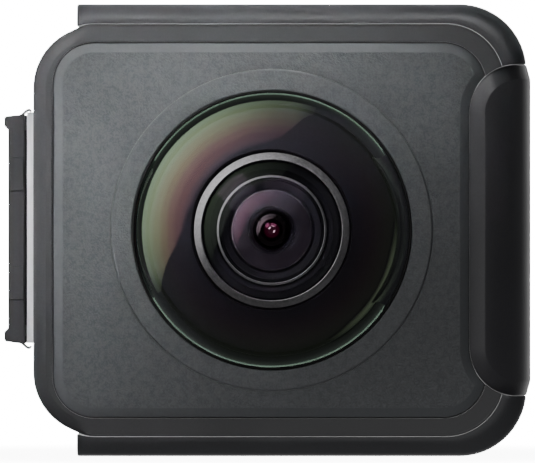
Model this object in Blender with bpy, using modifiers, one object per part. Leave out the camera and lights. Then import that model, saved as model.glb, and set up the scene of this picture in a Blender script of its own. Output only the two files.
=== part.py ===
"""Dual-lens module of a modular action camera.

Metres, +Z up. The lens axis runs along Y, with the front lens towards -Y. The docking connector
is on the -X end, and the module stands on its bottom rail at Z = 0. Heights are distances from
the middle plane Y = 0, towards the front for front pieces and towards the back for rear ones.
"""

import math

import bmesh
import bpy
from mathutils import Matrix

MM = 0.001
GAP = 0.3 * MM  # clearance between separate pieces
SIDES = {"front": -1, "rear": 1}
THROUGH = 60 * MM  # half length of a cutter that passes right through
TOUCH = 0.01 * MM  # points closer than this are in the same place
ARC_STEPS = 6  # segments in a quarter of a small round corner

# Whole module
HEIGHT = 53.2 * MM
MID_Z = HEIGHT / 2
LENS_X = 0.5 * MM
LENS_TIP = 24.75 * MM

# Outer frame, a U open to the left
FRAME_LEFT = -22.4 * MM
FRAME_RIGHT = 30.6 * MM
FRAME_CORNER = 7.9 * MM
FRAME_WALL = 2.3 * MM
FRAME_ROUND = 2.1 * MM
FRAME_INNER_CORNER = 7.0 * MM
FRAME_INNER_RIGHT = 27.9 * MM

# Covers, two trays that meet at the middle plane
FACE = 14.0 * MM
COVER_LEFT = -27.54 * MM
COVER_LEFT_CORNER = 7.3 * MM
COVER_WALL = 1.6 * MM
COVER_ROUND = 1.5 * MM
POCKET_FLOOR = 12.8 * MM
CAVITY_TOP = 11.0 * MM
LENS_HOLE = 17.3 * MM

# Plates
PLATE_TOP_INSET = 4.65 * MM
PLATE_LEFT = -25.1 * MM
PLATE_RIGHT = 25.6 * MM
PLATE_CORNER_LEFT = 4.8 * MM
PLATE_CORNER_RIGHT = 5.0 * MM
PLATE_BACK = POCKET_FLOOR + GAP
PLATE_FACE = 14.6 * MM
PLATE_CHAMFER = (1.1 * MM, 0.5 * MM)  # width, depth
PLATE_HOLE = 19.0 * MM

# End cap
CAP_LEFT = 23.74 * MM
CAP_RIGHT = 31.05 * MM
CAP_LOW = 7.1 * MM
CAP_CORNER = 5.75 * MM
CAP_BEVEL = (1.7 * MM, 0.5 * MM)  # width, depth
CAP_NOSE = 6.5 * MM
CAP_FACE = 14.5 * MM
CAP_INSIDE_FACE = 13.0 * MM
CAP_INSIDE_RIGHT = 29.8 * MM
CAP_INSIDE_NOSE = 5.4 * MM

# Lens stack, heights and radii
RING_FACE = 14.9 * MM
RING_RADII = (16.5 * MM, 18.7 * MM)
RING_CHAMFER = 0.2 * MM
DOME_RADIUS = 16.1 * MM
DOME_CURVE = 18.46 * MM
DOME_THICKNESS = 1.2 * MM
DOME_BASE = 13.7 * MM
DOME_INSIDE = 14.8 * MM
SEAL_RADII = (14.9 * MM, 16.0 * MM)
BARREL_TOP = 12.6 * MM
BARREL_LOW = 5.2 * MM
BARREL_NECK = 16.9 * MM
BARREL_FLANGE = 19.2 * MM
BARREL_TUBE = 8.4 * MM
BARREL_BORE = 5.2 * MM
BARREL_MOUTH = 4.4 * MM
FLANGE_HEIGHTS = (9.5 * MM, 10.7 * MM)
BAFFLE_RADII = (9.4 * MM, 14.4 * MM)
BAFFLE_HEIGHTS = (17.8 * MM, 14.4 * MM)  # at its inner and outer edges
CONE_RADII = (8.25 * MM, 9.1 * MM)
CONE_HEIGHTS = (18.6 * MM, 17.8 * MM)  # at its inner and outer edges
CUP_RADII = (6.75 * MM, 7.95 * MM)
CUP_HEIGHTS = (15.3 * MM, 15.6 * MM)  # at its inner and outer edges
SECOND_RADIUS = 7.95 * MM
SECOND_INSIDE = 7.2 * MM
SECOND_CURVE = 10.0 * MM
SECOND_THICKNESS = 0.8 * MM
SECOND_TIP = 20.9 * MM
SECOND_BASE = 15.9 * MM
TRIM_RADII = (6.2 * MM, 6.45 * MM)
TRIM_TOP = 15.8 * MM
MOUNT_RADII = (5.06 * MM, 5.9 * MM)
MOUNT_HEIGHTS = (14.3 * MM, 14.7 * MM)
THIRD_RADIUS = 4.76 * MM
THIRD_HEIGHTS = (12.9 * MM, 14.35 * MM, 17.0 * MM)  # back, edge, crown
IRIS_HOLE = 2.2 * MM
IRIS_RADIUS = 4.9 * MM
IRIS_HEIGHTS = (11.4 * MM, 12.0 * MM)
GROUP_RADIUS = 4.9 * MM
GROUP_HEIGHTS = (6.4 * MM, 11.1 * MM)  # back, shoulder
NOSE_RADIUS = 1.9 * MM
NOSE_CURVE = 2.4 * MM
NOSE_TIP = 12.6 * MM
INNER_BASE = BARREL_TOP + GAP

# Sensor stack
BOARD_SIZE = (34 * MM, 30 * MM)
BOARD_HEIGHTS = (0.9 * MM, 1.7 * MM)
SENSOR_SIZE = (17 * MM, 14 * MM)
SENSOR_HEIGHTS = (2.0 * MM, 3.0 * MM)
FILTER_SIZE = (15 * MM, 12 * MM)
FILTER_HEIGHTS = (3.5 * MM, 4.1 * MM)
HOLDER_SIZE = (22 * MM, 19 * MM)
HOLDER_HEIGHTS = (2.0 * MM, 4.9 * MM)
HOLDER_WINDOW = (12.6 * MM, 9.6 * MM)
FLEX_HALF_WIDTH = 6.0 * MM
FLEX_THICKNESS = 0.25 * MM
FLEX_HEIGHT = 4.2 * MM  # of its outer stretch, past the bend
FLEX_SLOPE = 0.8 * MM

# Chassis and its screws
CHASSIS_BOX = (-22 * MM, 25 * MM, 6 * MM, 47.2 * MM)
CHASSIS_HALF = 0.6 * MM
CHASSIS_CORNER = 4.0 * MM
POST_X = (-20.5 * MM, 21.0 * MM)
POST_OFFSET_Z = 18.0 * MM
POST_RADIUS = 2.3 * MM
POST_TOP = CAVITY_TOP - GAP
SCREW_BORE = 1.1 * MM
SCREW_SHANK = 0.8 * MM
SCREW_HEAD = 1.5 * MM
SCREW_HEAD_HEIGHTS = (12.0 * MM, 12.7 * MM)
SCREW_END = 5.0 * MM
COUNTERBORE = (1.8 * MM, 11.7 * MM)  # radius, height of its floor

# Docking connector
DOCK_FRAME_X = (-28.36 * MM, -26.2 * MM)
DOCK_FRAME_HALF = (8.6 * MM, 13.6 * MM)  # in Y and Z
DOCK_MID_Z = 26.9 * MM
DOCK_OPENING_HALF = (6.2 * MM, 11.8 * MM)
DOCK_WINDOW_DEPTH = 3.0 * MM
GASKET_THICKNESS = 0.8 * MM
GASKET_INSET = (0.2 * MM, 0.4 * MM)  # from the opening and from the surround's outside
PLUG_X = (-30.6 * MM, -28.66 * MM)
PLUG_HALF_Y = 7.5 * MM
PLUG_LOW = 13.3 * MM
PLUG_HIGH = 40.2 * MM
HOOK_REACH = 0.45 * MM
HOOK_HEIGHT = 1.3 * MM
PLUG_TAPER = 0.15 * MM
LIP_CHAMFER = 0.2 * MM
STEM_END = -24.9 * MM
RECESS_HALF = (3.4 * MM, 9.0 * MM)
RECESS_DEPTH = 1.4 * MM
KEY_CENTRES = (20.4 * MM, 33.2 * MM)
KEY_HEIGHT = 3.9 * MM
KEY_PROUD = 0.35 * MM
KEY_INSET = 0.15 * MM
CARRIER_SUNK = 0.5 * MM
CARRIER_BEVEL = 0.15 * MM
DOCK_BOARD_X = (-24.6 * MM, -23.6 * MM)
DOCK_BOARD_HALF = (8.0 * MM, 14.0 * MM)
RELIEF_HALF_Y = 3.4 * MM
RELIEF_DEPTH = 0.75 * MM

# Leaf springs
SPRING_HALF_Y = 3.0 * MM
SPRING_THICKNESS = 0.22 * MM
SPRING_ANCHOR_X = -30.3 * MM
SPRING_BEND_X = -29.5 * MM
SPRING_CREST_X = (-28.35 * MM, -28.1 * MM)
SPRING_TIP_X = -27.95 * MM
SPRING_FOOT = -0.2 * MM
SPRING_BEND = -0.05 * MM
SPRING_RISE = 0.78 * MM
SPRING_DROP = 0.3 * MM


# ---------------------------------------------------------------- tools
def new_collection(name):
    collection = bpy.data.collections.new(name)
    bpy.context.scene.collection.children.link(collection)
    return collection


def material(name, colour, roughness, metallic=0.0, alpha=1.0):
    made = bpy.data.materials.new(name)
    made.use_nodes = True
    shader = made.node_tree.nodes["Principled BSDF"]
    shader.inputs["Base Color"].default_value = (*colour, 1)
    shader.inputs["Roughness"].default_value = roughness
    shader.inputs["Metallic"].default_value = metallic
    shader.inputs["Alpha"].default_value = alpha
    return made


def finish(obj, name, made_of, smooth=True):
    """Gives a solid its name, its material and its place among the parts."""
    obj.name = name
    obj.data.name = name
    obj.data.materials.clear()
    obj.data.materials.append(made_of)
    for collection in obj.users_collection:
        collection.objects.unlink(obj)
    PARTS.objects.link(obj)
    if smooth:
        obj.data.shade_smooth()
        obj.data.set_sharp_from_angle(angle=math.radians(35))
    return obj


def as_cutter(obj):
    for collection in obj.users_collection:
        collection.objects.unlink(obj)
    CUTTERS.objects.link(obj)
    obj.hide_render = True
    obj.display_type = "WIRE"
    return obj


def join_by(obj, other, operation):
    """Adds a Boolean with another solid, which becomes a cutter."""
    boolean = obj.modifiers.new(operation.lower(), "BOOLEAN")
    boolean.operation = operation
    boolean.solver = "EXACT"
    boolean.object = as_cutter(other)
    return obj


def cut(obj, *cutters):
    for cutter in cutters:
        join_by(obj, cutter, "DIFFERENCE")
    return obj


def applied(obj):
    """The same object with its modifiers and its matrix applied to its mesh."""
    bpy.context.view_layer.update()
    depsgraph = bpy.context.evaluated_depsgraph_get()
    mesh = bpy.data.meshes.new_from_object(obj.evaluated_get(depsgraph))
    mesh.transform(obj.matrix_world)
    solid = bmesh.new()
    solid.from_mesh(mesh)
    bmesh.ops.remove_doubles(solid, verts=solid.verts, dist=TOUCH / 10)
    bmesh.ops.dissolve_limit(solid, angle_limit=0.001, verts=solid.verts, edges=solid.edges)
    solid.to_mesh(mesh)
    solid.free()
    name = obj.name
    bpy.data.objects.remove(obj)
    made = bpy.data.objects.new(name, mesh)
    bpy.context.scene.collection.objects.link(made)
    return made


def extruded(name, outline, low, high, axis="Y"):
    """Solid with an outline in X and Z between two Y values, or in X and Y between two Z values."""
    curve = bpy.data.curves.new(name, "CURVE")
    curve.dimensions = "2D"
    curve.fill_mode = "BOTH"
    curve.extrude = abs(high - low) / 2
    spline = curve.splines.new("POLY")
    spline.points.add(len(outline) - 1)
    for point, (across, along) in zip(spline.points, outline):
        point.co = (across, along, 0, 1)
    spline.use_cyclic_u = True
    source = bpy.data.objects.new(name, curve)
    bpy.context.scene.collection.objects.link(source)
    middle = (low + high) / 2
    if axis == "Y":
        turn = Matrix.Rotation(math.pi / 2, 4, "X")
        source.matrix_world = Matrix.Translation((0, middle, 0)) @ turn
    else:
        source.matrix_world = Matrix.Translation((0, 0, middle))
    return applied(source)


def block(name, x_range, y_range, z_range):
    """Box between three pairs of limits."""
    limits = (x_range, y_range, z_range)
    centre = [(low + high) / 2 for low, high in limits]
    size = [abs(high - low) for low, high in limits]
    solid = bmesh.new()
    bmesh.ops.create_cube(solid, size=1)
    bmesh.ops.scale(solid, vec=size, verts=solid.verts)
    bmesh.ops.translate(solid, vec=centre, verts=solid.verts)
    mesh = bpy.data.meshes.new(name)
    solid.to_mesh(mesh)
    solid.free()
    obj = bpy.data.objects.new(name, mesh)
    bpy.context.scene.collection.objects.link(obj)
    return obj


def rod(name, x, z, radius, y_range, segments=16):
    """Cylinder along Y."""
    low, high = sorted(y_range)
    solid = bmesh.new()
    placed = Matrix.Translation((x, (low + high) / 2, z)) @ Matrix.Rotation(math.pi / 2, 4, "X")
    bmesh.ops.create_cone(
        solid, cap_ends=True, segments=segments, radius1=radius, radius2=radius,
        depth=high - low, matrix=placed,
    )
    mesh = bpy.data.meshes.new(name)
    solid.to_mesh(mesh)
    solid.free()
    obj = bpy.data.objects.new(name, mesh)
    bpy.context.scene.collection.objects.link(obj)
    return obj


def turned(name, profile, side, steps=32):
    """Solid turned about the lens axis. Profile points are (radius, height), from the top of the
    outer side down and back along the inner side or the axis."""
    solid = bmesh.new()
    points = [solid.verts.new((radius, 0, height)) for radius, height in profile]
    for start, end in zip(points, points[1:]):
        solid.edges.new((start, end))
    if profile[0][0] > 0:
        solid.edges.new((points[-1], points[0]))
    mesh = bpy.data.meshes.new(name)
    solid.to_mesh(mesh)
    solid.free()
    obj = bpy.data.objects.new(name, mesh)
    bpy.context.scene.collection.objects.link(obj)
    obj.location = (LENS_X, 0, MID_Z)
    obj.rotation_euler = (-SIDES[side] * math.pi / 2, 0, 0)
    screw = obj.modifiers.new("turn", "SCREW")
    screw.axis = "Z"
    screw.steps = steps
    screw.render_steps = steps
    screw.use_merge_vertices = True
    screw.merge_threshold = TOUCH
    return applied(obj)


def bevel(obj, width, segments=3, angle=50):
    rounding = obj.modifiers.new("rounding", "BEVEL")
    rounding.width = width
    rounding.segments = segments
    rounding.limit_method = "ANGLE"
    rounding.angle_limit = math.radians(angle)
    return obj


# ---------------------------------------------------------------- outlines
def arc(centre_x, centre_z, radius, start, end, steps):
    """Points along an arc between two angles in degrees, anticlockwise from +X."""
    points = []
    for step in range(steps + 1):
        angle = math.radians(start + (end - start) * step / steps)
        points.append((centre_x + radius * math.cos(angle), centre_z + radius * math.sin(angle)))
    return points


def rounded_rect(left, right, low, high, left_radius, right_radius, steps=ARC_STEPS):
    """Rounded rectangle, anticlockwise from its lower left corner."""
    return [
        *arc(left + left_radius, low + left_radius, left_radius, 180, 270, steps),
        *arc(right - right_radius, low + right_radius, right_radius, 270, 360, steps),
        *arc(right - right_radius, high - right_radius, right_radius, 0, 90, steps),
        *arc(left + left_radius, high - left_radius, left_radius, 90, 180, steps),
    ]


def plate_outline(grow=0.0):
    low = PLATE_TOP_INSET - grow
    return rounded_rect(
        PLATE_LEFT - grow, PLATE_RIGHT + grow, low, HEIGHT - low,
        PLATE_CORNER_LEFT + grow, PLATE_CORNER_RIGHT + grow,
    )


def cap_outline(grow=0.0, right=THROUGH):
    """Face of the end cap, with round left corners; its right side is left long."""
    low = CAP_LOW - grow
    radius = CAP_CORNER + grow
    left = CAP_LEFT - grow
    return [
        *arc(left + radius, low + radius, radius, 180, 270, ARC_STEPS),
        (right, low),
        (right, HEIGHT - low),
        *arc(left + radius, HEIGHT - low - radius, radius, 90, 180, ARC_STEPS),
    ]


def nose_outline(right, half, radius):
    """Bull-nosed section in X and Y, long to the left."""
    return [
        (-THROUGH, -half),
        *arc(right - radius, radius - half, radius, 270, 360, ARC_STEPS),
        *arc(right - radius, half - radius, radius, 0, 90, ARC_STEPS),
        (-THROUGH, half),
    ]


# ---------------------------------------------------------------- housing
def cap_space(grow):
    """The room that the end cap needs, as a solid C round the right end."""
    outside = extruded("cap_space", cap_outline(grow), -THROUGH, THROUGH)
    return applied(cut(outside, cap_hollow(grow)))


def cap_hollow(grow):
    """The inside of the cap's bull nose, made smaller by grow."""
    outline = nose_outline(
        CAP_INSIDE_RIGHT - grow, CAP_INSIDE_FACE - grow, CAP_INSIDE_NOSE - grow
    )
    return extruded("cap_hollow", outline, -THROUGH, 2 * THROUGH, axis="Z")


def outer_frame():
    frame = extruded(
        "outer_frame",
        rounded_rect(-2 * THROUGH, FRAME_RIGHT, 0, HEIGHT, FRAME_CORNER, FRAME_CORNER, 8),
        -FACE, FACE,
    )
    bevel(frame, FRAME_ROUND, segments=4)
    frame = applied(frame)
    inside = extruded(
        "frame_inside",
        rounded_rect(
            -3 * THROUGH, FRAME_INNER_RIGHT, FRAME_WALL, HEIGHT - FRAME_WALL,
            FRAME_INNER_CORNER, FRAME_INNER_CORNER, 8,
        ),
        -THROUGH, THROUGH,
    )
    open_end = block(
        "frame_open_end", (-4 * THROUGH, FRAME_LEFT), (-THROUGH, THROUGH), (-THROUGH, 2 * THROUGH)
    )
    cut(frame, inside, open_end, cap_space(GAP))
    return finish(applied(frame), "outer_frame", FRAME_METAL)


def end_cap():
    nose = extruded(
        "cap_nose",
        nose_outline(CAP_RIGHT - CAP_BEVEL[1], CAP_FACE - CAP_BEVEL[1], CAP_NOSE),
        -THROUGH, 2 * THROUGH, axis="Z",
    )
    cap = extruded("end_cap", cap_outline(), -THROUGH, THROUGH)
    join_by(cap, nose, "INTERSECT")
    cap = applied(cap)
    raise_skin(cap, *CAP_BEVEL)
    cut(cap, cap_hollow(0))
    return finish(applied(cap), "end_cap", CAP_PLASTIC)


def raise_skin(obj, width, depth):
    """Raises the front, end and back of a solid inside a bevel of this width and depth."""
    solid = bmesh.new()
    solid.from_mesh(obj.data)
    skin = [face for face in solid.faces if abs(face.normal.z) < 0.01 and not inner_side(face)]
    bmesh.ops.inset_region(
        solid, faces=skin, thickness=width, depth=depth, use_even_offset=True, use_boundary=True
    )
    solid.to_mesh(obj.data)
    solid.free()


def inner_side(face):
    """True for the sides of a cap outline that face left, along its round corners."""
    return face.normal.x < -0.01 or abs(face.normal.z) > 0.01


def cover(side):
    sign = SIDES[side]
    low = FRAME_WALL + GAP
    right = FRAME_INNER_RIGHT - GAP
    corner = FRAME_INNER_CORNER - GAP
    tray = extruded(
        f"{side}_cover",
        rounded_rect(COVER_LEFT, right, low, HEIGHT - low, COVER_LEFT_CORNER, corner),
        sign * GAP / 2, sign * FACE,
    )
    round_left_rim(tray, sign * FACE)
    wall = COVER_WALL
    cavity = extruded(
        "cavity",
        rounded_rect(
            COVER_LEFT + wall, right - wall, low + wall, HEIGHT - low - wall,
            COVER_LEFT_CORNER - wall, corner - wall,
        ),
        -sign * THROUGH, sign * CAVITY_TOP,
    )
    pocket = extruded("pocket", plate_outline(GAP), sign * POCKET_FLOOR, sign * THROUGH)
    lens_hole = rod("lens_hole", LENS_X, MID_Z, LENS_HOLE, (0, sign * THROUGH), 40)
    dock = dock_window()
    cut(tray, cavity, pocket, cap_space(GAP), lens_hole, dock)
    radius, floor = COUNTERBORE
    for x, z in post_places():
        cut(
            tray,
            rod("screw_hole", x, z, SCREW_BORE, (0, sign * THROUGH)),
            rod("counterbore", x, z, radius, (sign * floor, sign * THROUGH)),
        )
    return finish(applied(tray), f"{side}_cover", COVER_PLASTIC)


def round_left_rim(obj, face_y):
    """Rounds the rim of the cover's face where the outer frame leaves it bare."""
    solid = bmesh.new()
    solid.from_mesh(obj.data)
    rim = [
        edge for edge in solid.edges
        if all(abs(vert.co.y - face_y) < TOUCH for vert in edge.verts)
        and all(vert.co.x < FRAME_LEFT + GAP for vert in edge.verts)
    ]
    bmesh.ops.bevel(
        solid, geom=rim, offset=COVER_ROUND, offset_type="OFFSET", segments=3, profile=0.5,
        affect="EDGES", clamp_overlap=True,
    )
    solid.to_mesh(obj.data)
    solid.free()


def lofted(name, sections):
    """Solid through outlines in X and Z at given Y values, all with the same number of points."""
    solid = bmesh.new()
    rings = [[solid.verts.new((x, y, z)) for x, z in outline] for outline, y in sections]
    for near, far in zip(rings, rings[1:]):
        for index in range(len(near)):
            after = (index + 1) % len(near)
            solid.faces.new((near[index], near[after], far[after], far[index]))
    solid.faces.new(rings[0])
    solid.faces.new(rings[-1])
    bmesh.ops.recalc_face_normals(solid, faces=solid.faces)
    mesh = bpy.data.meshes.new(name)
    solid.to_mesh(mesh)
    solid.free()
    obj = bpy.data.objects.new(name, mesh)
    bpy.context.scene.collection.objects.link(obj)
    return obj


def plate(side):
    """Raised plate whose chamfer also follows the round corners of the end cap."""
    sign = SIDES[side]
    width, depth = PLATE_CHAMFER
    shoulder = sign * (PLATE_FACE - depth)
    above = sign * (PLATE_FACE + depth)
    name = f"{side}_plate"
    body = lofted(name, [
        (plate_outline(), sign * PLATE_BACK),
        (plate_outline(), shoulder),
        (plate_outline(-width), sign * PLATE_FACE),
    ])
    cap_room = lofted("cap_room", [
        (cap_outline(GAP), -sign * THROUGH),
        (cap_outline(GAP), shoulder),
        (cap_outline(GAP + 2 * width), above),
    ])
    lens_room = rod("plate_hole", LENS_X, MID_Z, PLATE_HOLE, (0, sign * THROUGH), 48)
    return finish(applied(cut(body, cap_room, lens_room)), name, PLATE_PLASTIC)


# ---------------------------------------------------------------- lenses
def dome_arc(curve, centre, edge_radius, steps):
    """Profile points of a spherical cap, from the axis out to its edge."""
    points = []
    widest = math.asin(edge_radius / curve)
    for step in range(steps + 1):
        angle = widest * step / steps
        points.append((curve * math.sin(angle), centre + curve * math.cos(angle)))
    return points


def meniscus(name, side, radii, curve, thickness, tip, base, made_of, steps):
    """Domed shell with concentric faces and a flat rim; radii are those of its rim."""
    inner, outer = radii
    centre = tip - curve
    outside = dome_arc(curve, centre, outer, 8)
    inside = dome_arc(curve - thickness, centre, inner, 6)
    profile = [*outside, (outer, base), (inner, base), *reversed(inside)]
    return finish(turned(f"{side}_{name}", profile, side, steps), f"{side}_{name}", made_of)


def lens_ring(side):
    inner, outer = RING_RADII
    profile = [
        (inner, RING_FACE),
        (outer - RING_CHAMFER, RING_FACE),
        (outer, RING_FACE - RING_CHAMFER),
        (outer, PLATE_BACK),
        (inner, PLATE_BACK),
    ]
    name = f"{side}_lens_ring"
    return finish(turned(name, profile, side, 40), name, PLATE_PLASTIC)


def plain_ring(name, side, radii, low, high, made_of, steps=24):
    """Ring of rectangular section; high is its top height, or the top heights inside and outside."""
    inner, outer = radii
    high_in, high_out = high if isinstance(high, tuple) else (high, high)
    profile = [(inner, high_in), (outer, high_out), (outer, low), (inner, low)]
    return finish(turned(f"{side}_{name}", profile, side, steps), f"{side}_{name}", made_of)


def barrel(side):
    low, high = FLANGE_HEIGHTS
    name = f"{side}_lens_barrel"
    profile = [
        (BARREL_MOUTH, BARREL_TOP),
        (BARREL_NECK, BARREL_TOP),
        (BARREL_NECK, high),
        (BARREL_FLANGE, high),
        (BARREL_FLANGE, low),
        (BARREL_TUBE, low),
        (BARREL_TUBE, BARREL_LOW),
        (BARREL_BORE, BARREL_LOW),
        (BARREL_BORE, IRIS_HEIGHTS[1] + GAP),
        (BARREL_MOUTH, IRIS_HEIGHTS[1] + GAP),
    ]
    return finish(turned(name, profile, side, 32), name, BLACK_METAL)


def lens_element(name, side, radius, heights, made_of):
    """Lens with a flat back, a cylindrical edge and a crowned front."""
    back, edge, crown = heights
    rise = crown - edge
    curve = (radius**2 + rise**2) / (2 * rise)
    profile = [*dome_arc(curve, crown - curve, radius, 3), (radius, back), (0, back)]
    return finish(turned(f"{side}_{name}", profile, side, 24), f"{side}_{name}", made_of)


def rear_group(side):
    """Rear lens group, whose small domed nose stands up through the iris."""
    back, shoulder = GROUP_HEIGHTS
    crown = dome_arc(NOSE_CURVE, NOSE_TIP - NOSE_CURVE, NOSE_RADIUS, 4)
    corners = [(NOSE_RADIUS, shoulder), (GROUP_RADIUS, shoulder), (GROUP_RADIUS, back), (0, back)]
    name = f"{side}_rear_group"
    return finish(turned(name, crown + corners, side, 24), name, COATED_GLASS)


def lens_stack(side):
    meniscus(
        "dome", side, (DOME_INSIDE, DOME_RADIUS), DOME_CURVE, DOME_THICKNESS, LENS_TIP,
        DOME_BASE, LENS_GLASS, 40,
    )
    meniscus(
        "second_element", side, (SECOND_INSIDE, SECOND_RADIUS), SECOND_CURVE, SECOND_THICKNESS,
        SECOND_TIP, SECOND_BASE, LENS_GLASS, 24,
    )
    lens_ring(side)
    barrel(side)
    plain_ring("dome_seal", side, SEAL_RADII, INNER_BASE, DOME_BASE - GAP, RUBBER)
    plain_ring("baffle", side, BAFFLE_RADII, INNER_BASE, BAFFLE_HEIGHTS, BLACK_METAL, 32)
    plain_ring("cone_ring", side, CONE_RADII, INNER_BASE, CONE_HEIGHTS, GREY_METAL, 32)
    plain_ring("inner_cup", side, CUP_RADII, INNER_BASE, CUP_HEIGHTS, BLACK_METAL, 32)
    plain_ring("trim_ring", side, TRIM_RADII, INNER_BASE, TRIM_TOP, GREY_METAL, 32)
    plain_ring("third_mount", side, MOUNT_RADII, INNER_BASE, MOUNT_HEIGHTS, BLACK_METAL)
    plain_ring("iris", side, (IRIS_HOLE, IRIS_RADIUS), *IRIS_HEIGHTS, BLACK_METAL)
    lens_element("third_element", side, THIRD_RADIUS, THIRD_HEIGHTS, COATED_GLASS)
    rear_group(side)


# ---------------------------------------------------------------- inside
def centred(size, heights, sign):
    """Limits of a box on the lens axis."""
    width, height = size
    return (
        (LENS_X - width / 2, LENS_X + width / 2),
        (sign * heights[0], sign * heights[1]),
        (MID_Z - height / 2, MID_Z + height / 2),
    )


def sensor_stack(side):
    sign = SIDES[side]
    for name, size, heights, made_of in (
        ("sensor_board", BOARD_SIZE, BOARD_HEIGHTS, BOARD_GREEN),
        ("image_sensor", SENSOR_SIZE, SENSOR_HEIGHTS, SENSOR_DARK),
        ("ir_filter", FILTER_SIZE, FILTER_HEIGHTS, COATED_GLASS),
    ):
        label = f"{side}_{name}"
        finish(block(label, *centred(size, heights, sign)), label, made_of, smooth=False)
    holder = block("holder", *centred(HOLDER_SIZE, HOLDER_HEIGHTS, sign))
    room = (SENSOR_SIZE[0] + 2 * GAP, SENSOR_SIZE[1] + 2 * GAP)
    room_top = FILTER_HEIGHTS[1] + GAP
    cut(
        holder,
        block("sensor_room", *centred(room, (0, room_top), sign)),
        block("window", *centred(HOLDER_WINDOW, (0, THROUGH), sign)),
    )
    finish(applied(holder), f"{side}_sensor_holder", BLACK_PLASTIC, smooth=False)


def flex(side):
    """Ribbon from a sensor board's edge to the dock board, with one set bend."""
    sign = SIDES[side]
    start_x = LENS_X - BOARD_SIZE[0] / 2 - GAP
    end_x = DOCK_BOARD_X[1] + GAP
    step_x = (start_x + end_x) / 2
    low = sign * BOARD_HEIGHTS[0]
    high = sign * FLEX_HEIGHT
    thick = sign * FLEX_THICKNESS
    bend_x = step_x - FLEX_SLOPE
    outline = [
        (start_x, low), (step_x, low), (bend_x, high), (end_x, high),
        (end_x, high + thick), (bend_x, high + thick), (step_x, low + thick),
        (start_x, low + thick),
    ]
    limits = (MID_Z - FLEX_HALF_WIDTH, MID_Z + FLEX_HALF_WIDTH)
    ribbon = extruded("flex", outline, *limits, axis="Z")
    finish(ribbon, f"{side}_flex", FLEX_FILM, smooth=False)


def post_places():
    return [(x, MID_Z + way * POST_OFFSET_Z) for x in POST_X for way in (-1, 1)]


def chassis():
    left, right, low, high = CHASSIS_BOX
    outline = rounded_rect(left, right, low, high, CHASSIS_CORNER, CHASSIS_CORNER, 3)
    body = extruded("chassis", outline, -CHASSIS_HALF, CHASSIS_HALF)
    for x, z in post_places():
        join_by(body, rod("post", x, z, POST_RADIUS, (-POST_TOP, POST_TOP)), "UNION")
    for x, z in post_places():
        cut(body, rod("post_bore", x, z, SCREW_BORE, (-THROUGH, THROUGH)))
    finish(applied(body), "chassis", GREY_METAL)


def cover_screws(side):
    sign = SIDES[side]
    low, high = SCREW_HEAD_HEIGHTS
    for number, (x, z) in enumerate(post_places(), 1):
        head = rod("head", x, z, SCREW_HEAD, (sign * low, sign * high))
        shank = rod("shank", x, z, SCREW_SHANK, (sign * SCREW_END, sign * (low + high) / 2), 10)
        join_by(head, shank, "UNION")
        finish(applied(head), f"{side}_cover_screw_{number}", GREY_METAL)


# ---------------------------------------------------------------- docking connector
def dock_limits(x_range, half, grow=0.0):
    half_y, half_z = half
    return (
        x_range,
        (-half_y - grow, half_y + grow),
        (DOCK_MID_Z - half_z - grow, DOCK_MID_Z + half_z + grow),
    )


def dock_window():
    """Opening through the left walls of both covers."""
    x_range = (-THROUGH, COVER_LEFT + DOCK_WINDOW_DEPTH)
    return block("dock_window", *dock_limits(x_range, DOCK_FRAME_HALF, GAP))


def spring_relief():
    """Room under both leaf springs in the plug and in the metal surround."""
    x_range = (-THROUGH, COVER_LEFT)
    y_range = (-RELIEF_HALF_Y, RELIEF_HALF_Y)
    return (
        block("upper_relief", x_range, y_range, (PLUG_HIGH - RELIEF_DEPTH, THROUGH)),
        block("lower_relief", x_range, y_range, (-THROUGH, PLUG_LOW + RELIEF_DEPTH)),
    )


def dock_frame():
    body = block("dock_frame", *dock_limits(DOCK_FRAME_X, DOCK_FRAME_HALF))
    opening = block("dock_opening", *dock_limits((-THROUGH, 0), DOCK_OPENING_HALF))
    cut(body, opening, *spring_relief())
    finish(applied(body), "dock_frame", BRIGHT_METAL, smooth=False)


def dock_gasket():
    """Rubber frame behind the metal surround."""
    inside, outside = GASKET_INSET
    front = DOCK_FRAME_X[1] + GAP
    x_range = (front, front + GASKET_THICKNESS)
    body = block("dock_gasket", *dock_limits(x_range, DOCK_FRAME_HALF, -outside))
    cut(body, block("gasket_opening", *dock_limits((-THROUGH, 0), DOCK_OPENING_HALF, inside)))
    finish(applied(body), "dock_gasket", RUBBER, smooth=False)


def plug_outline():
    """Side of the plug in X and Z, with a hooked lip at each end."""
    left, right = PLUG_X
    lip = left - HOOK_REACH
    return [
        (right, PLUG_LOW - PLUG_TAPER),
        (right, PLUG_HIGH + PLUG_TAPER / 2),
        (lip + LIP_CHAMFER, PLUG_HIGH - PLUG_TAPER),
        (lip, PLUG_HIGH - PLUG_TAPER - LIP_CHAMFER),
        (lip, PLUG_HIGH - HOOK_HEIGHT),
        (left, PLUG_HIGH - HOOK_HEIGHT - HOOK_REACH),
        (left, PLUG_LOW + HOOK_HEIGHT + HOOK_REACH),
        (lip, PLUG_LOW + HOOK_HEIGHT),
        (lip, PLUG_LOW + PLUG_TAPER + LIP_CHAMFER),
        (lip + LIP_CHAMFER, PLUG_LOW + PLUG_TAPER),
    ]


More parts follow.
